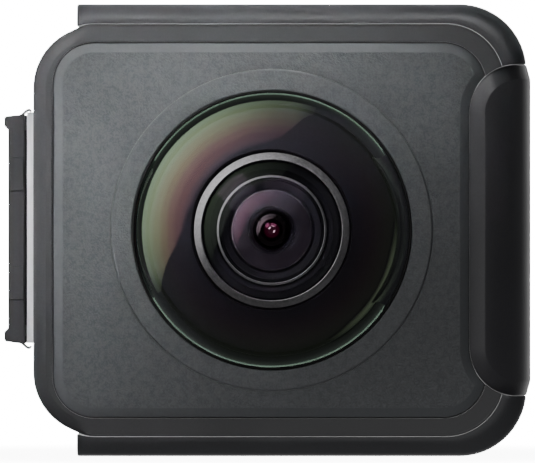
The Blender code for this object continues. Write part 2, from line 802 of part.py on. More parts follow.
def connector_housing():
    body = extruded("connector_housing", plug_outline(), -PLUG_HALF_Y, PLUG_HALF_Y)
    stem_half = (DOCK_OPENING_HALF[0] - GAP, DOCK_OPENING_HALF[1] - GAP)
    overlap = (PLUG_X[0] + PLUG_X[1]) / 2
    join_by(body, block("stem", *dock_limits((overlap, STEM_END), stem_half)), "UNION")
    for centre in KEY_CENTRES:
        keys = block(
            "keys", (PLUG_X[0] + KEY_INSET, PLUG_X[1] - KEY_INSET),
            (-PLUG_HALF_Y - KEY_PROUD, PLUG_HALF_Y + KEY_PROUD),
            (centre - KEY_HEIGHT / 2, centre + KEY_HEIGHT / 2),
        )
        join_by(body, keys, "UNION")
    recess = block("recess", *dock_limits((-THROUGH, PLUG_X[0] + RECESS_DEPTH), RECESS_HALF))
    cut(body, recess, *spring_relief())
    finish(applied(body), "connector_housing", BLACK_PLASTIC, smooth=False)


def contact_carrier():
    half = (RECESS_HALF[0] - GAP, RECESS_HALF[1] - GAP)
    x_range = (PLUG_X[0] + CARRIER_SUNK, PLUG_X[0] + RECESS_DEPTH - GAP)
    body = bevel(block("contact_carrier", *dock_limits(x_range, half)), CARRIER_BEVEL, 1)
    finish(applied(body), "contact_carrier", BLACK_PLASTIC, smooth=False)


def dock_board():
    body = block("dock_board", *dock_limits(DOCK_BOARD_X, DOCK_BOARD_HALF))
    finish(body, "dock_board", BOARD_GREEN, smooth=False)


def leaf_spring(name, way):
    """Thin leaf, anchored at the plug's lip and crowned near the body; way is 1 up or -1 down."""
    base = PLUG_HIGH if way > 0 else PLUG_LOW
    path = [
        (SPRING_ANCHOR_X, SPRING_FOOT),
        (SPRING_BEND_X, SPRING_BEND),
        (SPRING_CREST_X[0], SPRING_RISE),
        (SPRING_CREST_X[1], SPRING_RISE),
        (SPRING_TIP_X, SPRING_RISE - SPRING_DROP),
    ]
    upper = [(x, base + way * rise) for x, rise in path]
    lower = [(x, base + way * (rise - SPRING_THICKNESS)) for x, rise in reversed(path)]
    leaf = extruded(name, upper + lower, -SPRING_HALF_Y, SPRING_HALF_Y)
    pivot = (SPRING_ANCHOR_X, 0, base + way * (SPRING_FOOT - SPRING_THICKNESS / 2))
    leaf.data.transform(Matrix.Translation([-value for value in pivot]))
    leaf.location = pivot
    finish(leaf, name, SPRING_STEEL)


# ---------------------------------------------------------------- the module
for old in list(bpy.data.objects):
    bpy.data.objects.remove(old)

PARTS = new_collection("dual_lens_module")
CUTTERS = new_collection("cutters")

FRAME_METAL = material("frame_metal", (0.055, 0.058, 0.062), 0.38, 0.6)
COVER_PLASTIC = material("cover_plastic", (0.04, 0.042, 0.045), 0.45)
PLATE_PLASTIC = material("plate_plastic", (0.075, 0.08, 0.085), 0.65)
CAP_PLASTIC = material("cap_plastic", (0.02, 0.02, 0.022), 0.35)
BLACK_PLASTIC = material("black_plastic", (0.035, 0.035, 0.037), 0.5)
BLACK_METAL = material("black_metal", (0.012, 0.012, 0.014), 0.5, 0.3)
GREY_METAL = material("grey_metal", (0.35, 0.34, 0.33), 0.35, 1.0)
BRIGHT_METAL = material("bright_metal", (0.75, 0.75, 0.77), 0.25, 1.0)
SPRING_STEEL = material("spring_steel", (0.45, 0.45, 0.46), 0.3, 1.0)
RUBBER = material("seal_rubber", (0.02, 0.02, 0.02), 0.8)
LENS_GLASS = material("lens_glass", (0.6, 0.65, 0.62), 0.02, 0.0, 0.35)
COATED_GLASS = material("coated_glass", (0.25, 0.12, 0.2), 0.05, 0.0, 0.5)
SENSOR_DARK = material("sensor_dark", (0.05, 0.04, 0.07), 0.15)
BOARD_GREEN = material("board_green", (0.02, 0.12, 0.06), 0.5)
FLEX_FILM = material("flex_film", (0.45, 0.22, 0.05), 0.45)

outer_frame()
end_cap()
chassis()
for lens_side in SIDES:
    cover(lens_side)
    plate(lens_side)
    lens_stack(lens_side)
    sensor_stack(lens_side)
    flex(lens_side)
    cover_screws(lens_side)
dock_frame()
dock_gasket()
connector_housing()
contact_carrier()
dock_board()
leaf_spring("latch_spring_upper", 1)
leaf_spring("latch_spring_lower", -1)
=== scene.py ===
"""Looks of the dual-lens module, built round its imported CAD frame. Metres, +Z up.

The lens axis runs along Y and the front lens faces -Y. Heights are distances from the middle
plane Y = 0, towards the front for front pieces and towards the back for rear ones.
"""

import math

import bmesh
import bpy
from mathutils import Matrix, Vector


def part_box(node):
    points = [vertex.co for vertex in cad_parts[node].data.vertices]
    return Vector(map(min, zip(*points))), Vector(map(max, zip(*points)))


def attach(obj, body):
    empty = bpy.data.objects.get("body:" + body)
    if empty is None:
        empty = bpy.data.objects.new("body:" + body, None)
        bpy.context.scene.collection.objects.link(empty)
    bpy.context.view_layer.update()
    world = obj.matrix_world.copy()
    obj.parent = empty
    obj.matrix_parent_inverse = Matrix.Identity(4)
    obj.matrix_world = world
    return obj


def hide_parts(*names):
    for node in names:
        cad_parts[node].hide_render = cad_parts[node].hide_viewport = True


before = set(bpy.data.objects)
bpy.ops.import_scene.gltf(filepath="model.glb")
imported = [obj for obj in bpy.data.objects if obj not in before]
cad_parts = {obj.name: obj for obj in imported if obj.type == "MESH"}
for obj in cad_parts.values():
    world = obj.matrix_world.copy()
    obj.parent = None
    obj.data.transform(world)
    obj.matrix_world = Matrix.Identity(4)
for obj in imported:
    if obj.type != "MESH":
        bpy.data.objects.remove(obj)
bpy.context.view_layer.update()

MM = 0.001
GAP = 0.3 * MM
SIDES = {"front": -1, "rear": 1}
SEAM = 0.07 * MM  # what shows of the clearance between two pieces
TIGHT = 0.005 * MM  # what is left of it deep inside
FAR = 60 * MM  # half length of a cutter that passes right through


def span(node):
    """Limits of a CAD node in X, Y and Z."""
    low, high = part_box(node)
    return tuple(zip(low, high))


def radius_of(node):
    """Outer radius of a round CAD node on the lens axis."""
    low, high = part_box(node)
    return (high.x - low.x) / 2


def heights_of(node):
    """Lowest and highest distance of a front CAD node from the middle plane."""
    low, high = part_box(node)
    return -high.y, -low.y


# Housing, from the frame
(FRAME_LEFT, FRAME_RIGHT), (_, FACE), (_, HEIGHT) = span("outer_frame")
(COVER_LEFT, COVER_RIGHT), _, (COVER_LOW, COVER_HIGH) = span("front_cover")
(PLATE_LEFT, _), _, (PLATE_LOW, PLATE_HIGH) = span("front_plate")
PLATE_BACK, PLATE_FACE = heights_of("front_plate")
(CAP_LEFT, CAP_RIGHT), (_, CAP_FACE), (CAP_LOW, CAP_HIGH) = span("end_cap")
MID_Z = HEIGHT / 2
LENS_X = sum(span("front_dome")[0]) / 2
LENS_TIP = heights_of("front_dome")[1]

FRAME_CORNER = 7.9 * MM
FRAME_INNER_CORNER = 7.0 * MM
FRAME_WALL = COVER_LOW - GAP
FRAME_INNER_RIGHT = COVER_RIGHT + GAP
FRAME_ROUND = 2.0 * MM
END_ROUND = 0.28 * MM

COVER_LEFT_CORNER = 7.3 * MM
BAND = (1.5 * MM, 1.15 * MM)  # width and depth of the cover's rounded left edge
BAND_ANGLE = math.radians(62)
BEAD = 0.036 * MM  # height of the bead along the cover's edge, inside the frame
COVER_WALL = 1.6 * MM
CAVITY_TOP = 11.0 * MM
WINDOW_DEPTH = 3.0 * MM  # how far the connector's window reaches into the cover
POCKET_FLOOR = PLATE_BACK - GAP
LENS_HOLE = 17.3 * MM
BAND_FADE = (FRAME_LEFT + 1.8 * MM, FRAME_LEFT - 1.0 * MM)
PLATE_SEAM = 0.18 * MM
CAP_SEAM = 0.09 * MM  # between the plate and the end cap

PLATE_RIGHT = 25.6 * MM
PLATE_CORNERS = (4.8 * MM, 5.0 * MM)
PLATE_CHAMFER = (1.1 * MM, 0.5 * MM)
PLATE_EDGE = 0.1 * MM
RING_OUTER = 18.9 * MM
PLATE_HOLE = RING_OUTER + 0.04 * MM

CAP_CORNER = 5.75 * MM
CAP_BEVEL = (1.75 * MM, 0.5 * MM)
CAP_NOSE = 6.5 * MM
CAP_WALL = 0.75 * MM
CAP_ROOM_WALL = 1.5 * MM  # from the cap's face to the room inside it
CAP_ROOM_NOSE = 5.4 * MM

FINE_STEPS = 20  # segments in a quarter of a round corner
TURN_STEPS = 144  # segments round a turned piece
ON_AXIS = 0.001 * MM  # radius below which a profile point lies on the axis


# ---------------------------------------------------------------- mesh tools
def new_object(name, mesh):
    obj = bpy.data.objects.new(name, mesh)
    bpy.context.scene.collection.objects.link(obj)
    return obj


def from_bmesh(name, solid):
    bmesh.ops.recalc_face_normals(solid, faces=solid.faces)
    mesh = bpy.data.meshes.new(name)
    solid.to_mesh(mesh)
    solid.free()
    return new_object(name, mesh)


def applied(obj):
    """The same object with its modifiers applied to its mesh."""
    bpy.context.view_layer.update()
    depsgraph = bpy.context.evaluated_depsgraph_get()
    mesh = bpy.data.meshes.new_from_object(obj.evaluated_get(depsgraph))
    name = obj.name
    bpy.data.objects.remove(obj)
    return new_object(name, mesh)


def combine(obj, others, operation="DIFFERENCE"):
    """Applies a Boolean with each of the other solids, which are used up."""
    for other in others:
        boolean = obj.modifiers.new("boolean", "BOOLEAN")
        boolean.operation = operation
        boolean.solver = "EXACT"
        boolean.object = other
    made = applied(obj)
    for other in others:
        bpy.data.objects.remove(other)
    return made


def soften(obj, width, segments=2, angle=50):
    """Rounds the edges sharper than an angle."""
    rounding = obj.modifiers.new("rounding", "BEVEL")
    rounding.width = width
    rounding.segments = segments
    rounding.limit_method = "ANGLE"
    rounding.angle_limit = math.radians(angle)
    rounding.use_clamp_overlap = True
    return applied(obj)


def loft(name, rings):
    """Solid through rings of points with equal counts, with flat ends."""
    solid = bmesh.new()
    rows = [[solid.verts.new(point) for point in ring] for ring in rings]
    for near, far in zip(rows, rows[1:]):
        for index in range(len(near)):
            after = (index + 1) % len(near)
            solid.faces.new((near[index], near[after], far[after], far[index]))
    solid.faces.new(rows[0])
    solid.faces.new(rows[-1])
    bmesh.ops.remove_doubles(solid, verts=solid.verts, dist=0.0005 * MM)
    return from_bmesh(name, solid)


def block(name, x_range, y_range, z_range):
    corners = [
        [(x, y, z) for x, z in (
            (x_range[0], z_range[0]), (x_range[1], z_range[0]),
            (x_range[1], z_range[1]), (x_range[0], z_range[1]),
        )]
        for y in y_range
    ]
    return loft(name, corners)


def prism(name, outline, y_range):
    """Outline in X and Z carried between two Y values."""
    return loft(name, [[(x, y, z) for x, z in outline] for y in y_range])


def turned(name, profile, side, zones=None):
    """Closed solid turned about the lens axis, from a loop of (radius, height) points.

    zones holds the material index of the strip that follows each point."""
    sign = SIDES[side]
    solid = bmesh.new()
    rows = []
    for radius, height in profile:
        if radius < ON_AXIS:
            pole = solid.verts.new((LENS_X, sign * height, MID_Z))
            rows.append([pole] * TURN_STEPS)
            continue
        row = []
        for step in range(TURN_STEPS):
            angle = math.tau * step / TURN_STEPS
            x = LENS_X + radius * math.cos(angle)
            z = MID_Z + radius * math.sin(angle)
            row.append(solid.verts.new((x, sign * height, z)))
        rows.append(row)
    closing = [] if profile[0][0] < ON_AXIS else rows[:1]
    for index, (near, far) in enumerate(zip(rows, rows[1:] + closing)):
        for step in range(TURN_STEPS):
            after = (step + 1) % TURN_STEPS
            corners = [near[step], near[after], far[after], far[step]]
            unique = list(dict.fromkeys(corners))
            if len(unique) > 2:
                face = solid.faces.new(unique)
                face.material_index = zones[index] if zones else 0
    return from_bmesh(name, solid)


def shade(obj, angle):
    obj.data.shade_smooth()
    obj.data.set_sharp_from_angle(angle=math.radians(angle))
    weighted = obj.modifiers.new("normals", "WEIGHTED_NORMAL")
    weighted.keep_sharp = True


def piece(obj, name, materials, node=None, body="root", crease=32):
    """Names a finished mesh, gives it its materials and stands it in for its CAD node."""
    obj.name = name
    obj.data.name = name
    for made in materials:
        obj.data.materials.append(made)
    shade(obj, crease)
    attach(obj, body)
    if node:
        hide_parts(node)


# ---------------------------------------------------------------- outlines
def arc(centre_x, centre_z, radius, start, end, steps=FINE_STEPS):
    points = []
    for step in range(steps + 1):
        angle = math.radians(start + (end - start) * step / steps)
        points.append((centre_x + radius * math.cos(angle), centre_z + radius * math.sin(angle)))
    return points


def rounded_rect(left, right, low, high, left_radius, right_radius):
    return [
        *arc(left + left_radius, low + left_radius, left_radius, 180, 270),
        *arc(right - right_radius, low + right_radius, right_radius, 270, 360),
        *arc(right - right_radius, high - right_radius, right_radius, 0, 90),
        *arc(left + left_radius, high - left_radius, left_radius, 90, 180),
    ]


def plate_outline(grow=0.0):
    return rounded_rect(
        PLATE_LEFT - grow, PLATE_RIGHT + grow, PLATE_LOW - grow, PLATE_HIGH + grow,
        PLATE_CORNERS[0] + grow, PLATE_CORNERS[1] + grow,
    )


def cap_outline(grow=0.0):
    """The end cap's outline in X and Z, with its right side left long."""
    radius = CAP_CORNER + grow
    centre_x = CAP_LEFT + CAP_CORNER
    return [
        *arc(centre_x, CAP_LOW + CAP_CORNER, radius, 180, 270),
        (FAR, CAP_LOW - grow),
        (FAR, CAP_HIGH + grow),
        *arc(centre_x, CAP_HIGH - CAP_CORNER, radius, 90, 180),
    ]


def lens_circle(radius):
    """Circle round the lens axis, in X and Z."""
    return arc(LENS_X, MID_Z, radius, 0, 360 - 360 / TURN_STEPS, TURN_STEPS - 1)


def smooth_step(value, start, end):
    share = min(max((value - start) / (end - start), 0.0), 1.0)
    return share * share * (3 - 2 * share)


def quarter(steps):
    """Pairs (1 - cos, 1 - sin) along a quarter turn, from the side to the top of a rounding."""
    turn = [math.pi / 2 * step / steps for step in range(steps + 1)]
    return [(1 - math.cos(angle), 1 - math.sin(angle)) for angle in turn]


# ---------------------------------------------------------------- housing
def cap_room():
    """The space of the end cap with a seam round it, as a C round the right end."""
    outside = prism("cap_room", cap_outline(SEAM), (-FAR, FAR))
    inside_right = CAP_RIGHT - CAP_BEVEL[1] - CAP_WALL - GAP
    inside_half = CAP_FACE - CAP_ROOM_WALL - GAP
    nose = CAP_ROOM_NOSE - GAP
    outline = [(-FAR, -inside_half)]
    outline += arc(inside_right - nose, nose - inside_half, nose, 270, 360, 10)
    outline += arc(inside_right - nose, inside_half - nose, nose, 0, 90, 10)
    outline += [(-FAR, inside_half)]
    hollow = loft("hollow", [[(x, y, z) for x, y in outline] for z in (-FAR, 2 * FAR)])
    return combine(outside, [hollow])


def frame_path():
    """Pairs of points on the outside and inside of the frame, from its lower left end round."""
    outer_x = FRAME_RIGHT - FRAME_CORNER
    inner_x = FRAME_INNER_RIGHT - FRAME_INNER_CORNER
    turn_x = COVER_LEFT + COVER_LEFT_CORNER
    low = []
    for step in range(5):
        x = FRAME_LEFT + END_ROUND + (turn_x - FRAME_LEFT - END_ROUND) * step / 4
        drop = COVER_LEFT_CORNER - math.sqrt(COVER_LEFT_CORNER**2 - (turn_x - x) ** 2)
        low.append(((x, 0.0), (x, FRAME_WALL + drop)))
    outer = arc(outer_x, FRAME_CORNER, FRAME_CORNER, 270, 360)
    inner = arc(inner_x, FRAME_WALL + FRAME_INNER_CORNER, FRAME_INNER_CORNER, 270, 360)
    low += list(zip(outer, inner))
    high = [((a, HEIGHT - b), (c, HEIGHT - d)) for (a, b), (c, d) in reversed(low)]
    return low + high


def frame_section():
    """The frame's section, as (share of the wall from outside in, height)."""
    points = [
        (FRAME_ROUND * across / FRAME_WALL, FACE - FRAME_ROUND * down)
        for across, down in quarter(14)
    ]
    edge = 0.05 * MM
    points += [(1 - edge / FRAME_WALL, FACE), (1.0, FACE - edge)]
    return [(0.0, 0.0), *points, *((share, -height) for share, height in reversed(points))]


def outer_frame():
    section = frame_section()

    def ring(outer, inner, shift=0.0, inset=0.0):
        points = []
        for share, height in section:
            share = 1 - (1 - share) * (1 - inset / FRAME_WALL)
            x = outer[0] + (inner[0] - outer[0]) * share + shift
            z = outer[1] + (inner[1] - outer[1]) * share
            points.append((x, height * (1 - inset / FACE), z))
        return points

    path = frame_path()
    start, end = path[0], path[-1]
    rounding = [(END_ROUND * (down - 1), END_ROUND * across) for across, down in quarter(5)][1:]
    rings = [ring(*start, shift, inset) for shift, inset in reversed(rounding)]
    rings += [ring(outer, inner) for outer, inner in path]
    rings += [ring(*end, shift, inset) for shift, inset in rounding]
    body = loft("outer_frame", rings)
    body = combine(body, [cap_room()])
    body = soften(body, 0.07 * MM, angle=62)
    piece(body, "outer_frame_look", [FRAME_METAL], "outer_frame")


def outward(points):
    """Unit normals, pointing out, of a closed anticlockwise outline."""
    normals = []
    for index in range(len(points)):
        before = points[index - 1]
        after = points[(index + 1) % len(points)]
        along = Vector((after[0] - before[0], after[1] - before[1]))
        along.normalize()
        normals.append((along.y, -along.x))
    return normals


def cover_outline(right_corner):
    """The cover's outline, with extra points where its left band fades into the bead."""
    first = FINE_STEPS + 1
    last = 3 * first
    fade = [FRAME_LEFT + step * 0.5 * MM for step in range(-3, 8)]
    fade = [x for x in fade if x > COVER_LEFT + COVER_LEFT_CORNER]
    outline = rounded_rect(
        COVER_LEFT, COVER_RIGHT, COVER_LOW, COVER_HIGH, COVER_LEFT_CORNER, right_corner
    )
    return [
        *outline[:first], *((x, COVER_LOW) for x in fade),
        *outline[first:last], *((x, COVER_HIGH) for x in reversed(fade)), *outline[last:],
    ]


def band_and_bead():
    """Matching (inset, height) points of the rounded left band and of the bead inside the frame."""
    insets = (0.0, 0.01, 0.07, 0.12, 0.16, 0.2, 0.26, 0.9, 1.5)
    heights = (-0.06 * MM, -0.03 * MM, *(BEAD,) * 4, 0.0, 0.0, 0.0)
    bead = [(inset * MM, height) for inset, height in zip(insets, heights)]
    band = []
    for step in range(len(bead)):
        angle = BAND_ANGLE * step / (len(bead) - 1)
        band.append((
            BAND[0] * (1 - math.cos(angle)) / (1 - math.cos(BAND_ANGLE)),
            BAND[1] * (math.sin(angle) / math.sin(BAND_ANGLE) - 1),
        ))
    return zip(band, bead)


def cover_shell(side, outline):
    """Solid block of the cover, before it is hollowed."""
    sign = SIDES[side]
    normals = outward(outline)
    shares = [smooth_step(-x, -BAND_FADE[0], -BAND_FADE[1]) for x, _ in outline]
    grow = [(GAP - SEAM) * (1 - share) for share in shares]
    flare = (GAP - TIGHT) / (GAP - SEAM)
    rings = [[
        (x + nx * out * flare, sign * GAP / 2, z + nz * out * flare)
        for (x, z), (nx, nz), out in zip(outline, normals, grow)
    ]]
    for (band_in, band_up), (bead_in, bead_up) in band_and_bead():
        points = []
        for (x, z), (nx, nz), share, out in zip(outline, normals, shares, grow):
            move = out - band_in * share - bead_in * (1 - share)
            up = FACE + band_up * share + bead_up * (1 - share)
            points.append((x + nx * move, sign * up, z + nz * move))
        rings.append(points)
    return loft(f"{side}_cover", rings)


def cover(side):
    sign = SIDES[side]
    right_corner = FRAME_INNER_CORNER - GAP
    wall = COVER_WALL
    cavity = rounded_rect(
        COVER_LEFT + wall, COVER_RIGHT - wall, COVER_LOW + wall, COVER_HIGH - wall,
        COVER_LEFT_CORNER - wall, right_corner - wall,
    )
    window_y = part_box("dock_frame")[1].y + GAP
    dock_low, dock_high = span("dock_frame")[2]
    cutters = [
        prism("cavity", cavity, (-sign * FAR, sign * CAVITY_TOP)),
        prism("pocket", plate_outline(PLATE_SEAM), (sign * POCKET_FLOOR, sign * FAR)),
        cap_room(),
        prism("lens_hole", lens_circle(LENS_HOLE), (0, sign * FAR)),
        block(
            "window", (-FAR, COVER_LEFT + WINDOW_DEPTH), (-window_y, window_y),
            (dock_low - GAP, dock_high + GAP),
        ),
    ]
    tray = combine(cover_shell(side, cover_outline(right_corner)), cutters)
    tray = soften(tray, 0.07 * MM, angle=60)
    piece(tray, f"{side}_cover_look", [COVER_PLASTIC], f"{side}_cover", crease=14)


def plate(side):
    """Raised plate whose chamfer also follows the round corners of the end cap."""
    sign = SIDES[side]
    width, depth = PLATE_CHAMFER
    shoulder = PLATE_FACE - depth
    foot = (0.0, shoulder - PLATE_EDGE)
    chamfer = [
        (PLATE_EDGE, shoulder + 0.02 * MM),
        (width - 0.12 * MM, PLATE_FACE - 0.035 * MM),
        (width + 0.03 * MM, PLATE_FACE),
    ]
    sections = [(0.0, PLATE_BACK), foot, (0.03 * MM, shoulder - 0.03 * MM), *chamfer]
    rings = [
        [(x, sign * height, z) for x, z in plate_outline(-inset)] for inset, height in sections
    ]
    body = loft(f"{side}_plate", rings)
    cap_sections = [(0.0, -FAR), foot, *chamfer, (width + 0.5 * MM, PLATE_FACE + depth / 4)]
    cutter = loft("cap_side", [
        [(x, sign * height, z) for x, z in cap_outline(CAP_SEAM + grow)] for grow, height in cap_sections
    ])
    hole = prism("plate_hole", lens_circle(PLATE_HOLE), (0, sign * FAR))
    body = combine(body, [cutter, hole])
    body = soften(body, 0.05 * MM, angle=65)
    # painted shade: the plate's side walls, round the outside and in the lens hole, take the black
    # plastic so the gap round the plate reads dark
    for face in body.data.polygons:
        face.material_index = int(abs(face.normal.y) < 0.3)
    piece(body, f"{side}_plate_look", [PLATE_PLASTIC, BLACK_PLASTIC_AND_GAP_SHADE], f"{side}_plate")


def cap_turn(x):
    """Distance along the cap's section from its right middle to where it has this X."""
    right = CAP_RIGHT - CAP_BEVEL[1]
    straight = CAP_FACE - CAP_BEVEL[1] - CAP_NOSE
    start = right - CAP_NOSE
    if x < start:
        return straight + CAP_NOSE * math.pi / 2 + start - x
    return straight + CAP_NOSE * math.acos(min((x - start) / CAP_NOSE, 1.0))


def cap_wrap(along, height):
    """X and Y of a point of the cap's bull-nosed section, raised by a height."""
    right = CAP_RIGHT - CAP_BEVEL[1]
    half = CAP_FACE - CAP_BEVEL[1]
    straight = half - CAP_NOSE
    bend = CAP_NOSE * math.pi / 2
    far = abs(along)
    if far < straight:
        x, y = right + height, far
    elif far < straight + bend:
        angle = (far - straight) / CAP_NOSE
        x = right - CAP_NOSE + (CAP_NOSE + height) * math.cos(angle)
        y = straight + (CAP_NOSE + height) * math.sin(angle)
    else:
        x, y = right - CAP_NOSE - (far - straight - bend), half + height
    return x, -math.copysign(y, along)


def end_cap():
    """Built flat, with its bevel, and then wrapped round the bull nose."""
    left_arc = arc(CAP_LEFT + CAP_CORNER, CAP_HIGH - CAP_CORNER, CAP_CORNER, 180, 90, 28)
    quarter_turn = [(cap_turn(x), z) for x, z in left_arc]
    outline = [*quarter_turn, *((-along, z) for along, z in reversed(quarter_turn))]
    outline += [(-along, HEIGHT - z) for along, z in quarter_turn]
    outline += [(along, HEIGHT - z) for along, z in reversed(quarter_turn)]
    outline = outline[::-1]
    normals = outward(outline)
    if normals[0][0] * outline[0][0] < 0:
        normals = [(-a, -b) for a, b in normals]
    width, depth = CAP_BEVEL
    edge = 0.12 * MM
    steps = [
        (0.0, -CAP_WALL), (0.0, -edge), (0.035 * MM, -0.03 * MM), (edge, 0.04 * MM),
        (width - 0.15 * MM, depth - 0.05 * MM), (width - 0.05 * MM, depth - 0.015 * MM),
        (width + 0.1 * MM, depth),
    ]
    rings = [
        [(a - inset * na, height, z - inset * nz) for (a, z), (na, nz) in zip(outline, normals)]
        for inset, height in steps
    ]
    flat = loft("end_cap", rings)
    solid = bmesh.new()
    solid.from_mesh(flat.data)
    reach = max(a for a, _ in outline)
    count = 90
    for step in range(1, count):
        level = -reach + 2 * reach * step / count
        geometry = solid.verts[:] + solid.edges[:] + solid.faces[:]
        bmesh.ops.bisect_plane(
            solid, geom=geometry, plane_co=(level, 0, 0), plane_no=(1, 0, 0), dist=0.001 * MM
        )
    for vert in solid.verts:
        x, y = cap_wrap(vert.co.x, vert.co.y)
        vert.co = (x, y, vert.co.z)
    bpy.data.objects.remove(flat)
    body = from_bmesh("end_cap", solid)
    piece(body, "end_cap_look", [CAP_PLASTIC], "end_cap", crease=12)


# ---------------------------------------------------------------- lens stack
DOME_CURVE = 18.46 * MM
DOME_THICKNESS = 1.2 * MM
SECOND_CURVE = 10.0 * MM
SECOND_THICKNESS = 0.8 * MM
SECOND_INSIDE = 7.2 * MM
DOME_INSIDE = 14.8 * MM
RING_INNER = 16.5 * MM
SEAL = (16.14 * MM, 16.46 * MM)
RING_ROUND = 0.24 * MM
CONE_INNER = 8.25 * MM
CONE_FOOT = 17.8 * MM
BAFFLE_INNER = 9.4 * MM
BAFFLE_RIM = 14.4 * MM
CUP_INNER = 6.75 * MM
TRIM_INNER = 6.2 * MM
MOUNT_INNER = 5.06 * MM
IRIS_HOLE = 2.2 * MM
NOSE_CURVE = 2.4 * MM
NOSE_RADIUS = 1.9 * MM
THIRD_EDGE = 14.6 * MM
NO_MIRROR = (
    "cover_look", "plate_look", "lens_ring_look", "dome_bead", "dome_glass", "second_element_glass",
    "third_element_glass", "baffle_look", "cone_ring_look", "inner_cup_look", "trim_ring_look",
    "third_mount_look", "iris_look",
)  # pieces left out of the reflections in the glass


def cap_arc(curve, tip, edge_radius, steps):
    """Profile points of a spherical cap, from the axis out to its edge."""
    widest = math.asin(edge_radius / curve)
    turns = [widest * step / steps for step in range(steps + 1)]
    return [(curve * math.sin(turn), tip - curve + curve * math.cos(turn)) for turn in turns]


def size_of(name):
    """Base height, top height and outer radius of a lens piece, from its front CAD node."""
    node = f"front_{name}"
    return (*heights_of(node), radius_of(node))


def meniscus(name, side, curve, thickness, inside, steps, coating):
    """Domed glass with concentric faces: its coated face, its blackened rim and its clear back."""
    node = f"{side}_{name}"
    base, tip, radius = size_of(name)
    outer = cap_arc(curve, tip, radius, steps)
    inner = cap_arc(curve - thickness, tip - thickness, inside, steps)
    profile = [*outer, (radius, base), (inside, base), *reversed(inner)]
    zones = [0] * steps + [1] * 3 + [2] * steps
    body = turned(node, profile, side, zones)
    piece(body, f"{node}_glass", [coating, BLACK_METAL, CLEAR_GLASS], node)


def ring(name, side, profile, materials, slot, suffix="look", zones=None):
    """Turned piece that stands in for one CAD node of a lens."""
    node = f"{side}_{name}"
    piece(turned(node, profile, side, zones), f"{node}_{suffix}", materials, node)


def dome(side):
    meniscus("dome", side, DOME_CURVE, DOME_THICKNESS, DOME_INSIDE, 40, DOME_COAT)


def second_element(side):
    meniscus("second_element", side, SECOND_CURVE, SECOND_THICKNESS, SECOND_INSIDE, 28, SECOND_COAT)


def lens_ring(side):
    base, top, _ = size_of("lens_ring")
    middle = RING_OUTER - RING_ROUND
    profile = [(RING_INNER + 0.05 * MM, top - 0.02 * MM), (RING_INNER + 0.15 * MM, top)]
    for step in range(5):
        turn = math.pi / 8 * step
        profile.append((middle + RING_ROUND * math.sin(turn), top - RING_ROUND * (1 - math.cos(turn))))
    profile += [(RING_OUTER, base), (RING_INNER, base), (RING_INNER, top - 0.08 * MM)]
    ring("lens_ring", side, profile, [RING_PLASTIC], "plate_plastic")


def seal_ring(side):
    """Black bead of adhesive between the glass and the raised ring."""
    inner, outer = SEAL
    top = heights_of("front_lens_ring")[1] - 0.12 * MM
    foot = top - 1.2 * MM
    middle = (inner + outer) / 2
    half = (outer - inner) / 2
    profile = []
    for step in range(9):
        turn = math.pi / 8 * step
        profile.append((middle - half * math.cos(turn), top - half + half * math.sin(turn)))
    profile += [(outer, foot), (inner, foot)]
    node = f"{side}_dome_bead"
    piece(turned(node, profile, side), node, [RUBBER])


def baffle(side):
    base, top, outer = size_of("baffle")
    profile = [
        (BAFFLE_INNER, top - 0.1 * MM), (BAFFLE_INNER + 0.1 * MM, top), (outer, BAFFLE_RIM),
        (outer, base), (BAFFLE_INNER, base),
    ]
    ring("baffle", side, profile, [BLACK_METAL], "black_metal")


def cone_ring(side):
    base, top, outer = size_of("cone_ring")
    profile = [
        (CONE_INNER, top - 0.08 * MM), (CONE_INNER + 0.06 * MM, top),
        (CONE_INNER + 0.18 * MM, top - 0.07 * MM),
        (outer - 0.1 * MM, CONE_FOOT + 0.03 * MM), (outer, CONE_FOOT - 0.08 * MM),
        (outer, base), (CONE_INNER, base),
    ]
    ring("cone_ring", side, profile, [GREY_METAL], "grey_metal")


def inner_cup(side):
    base, top, outer = size_of("inner_cup")
    profile = [(CUP_INNER, top - 0.3 * MM), (outer, top), (outer, base), (CUP_INNER, base)]
    ring("inner_cup", side, profile, [BLACK_METAL], "black_metal")


def trim_ring(side):
    base, top, outer = size_of("trim_ring")
    profile = [
        (TRIM_INNER, top - 0.02 * MM), (TRIM_INNER + 0.03 * MM, top),
        (outer - 0.02 * MM, top - 0.15 * MM), (outer, top - 0.2 * MM),
        (outer, base), (TRIM_INNER, base),
    ]
    ring("trim_ring", side, profile, [GREY_METAL], "grey_metal")


def third_mount(side):
    base, top, outer = size_of("third_mount")
    profile = [
        (MOUNT_INNER, top - 0.35 * MM), (outer - 0.1 * MM, top), (outer, top - 0.1 * MM),
        (outer, base), (MOUNT_INNER, base),
    ]
    ring("third_mount", side, profile, [BLACK_METAL], "black_metal")


def third_element(side):
    base, tip, radius = size_of("third_element")
    rise = tip - THIRD_EDGE
    curve = (radius**2 + rise**2) / (2 * rise)
    profile = [*cap_arc(curve, tip, radius, 24), (radius, base), (0, base)]
    ring("third_element", side, profile, [THIRD_COAT, BLACK_METAL, CLEAR_GLASS],
         "coated_glass", "glass", zones=[0] * 24 + [1, 2])


def iris(side):
    base, top, outer = size_of("iris")
    profile = [
        (IRIS_HOLE, base), (IRIS_HOLE, top - 0.2 * MM), (IRIS_HOLE + 0.2 * MM, top),
        (outer, top), (outer, base),
    ]
    ring("iris", side, profile, [IRIS_METAL], "black_metal")


def rear_group(side):
    """Rear lens group, whose domed nose stands up through the iris."""
    base, tip, outer = size_of("rear_group")
    shoulder = heights_of("front_iris")[0] - GAP
    profile = cap_arc(NOSE_CURVE, tip, NOSE_RADIUS, 20)
    profile += [(NOSE_RADIUS, shoulder), (outer, shoulder), (outer, base), (0, base)]
    ring("rear_group", side, profile, [PUPIL_GLASS, BLACK_METAL], "coated_glass", "glass",
         zones=[0] * 20 + [1] * 4)


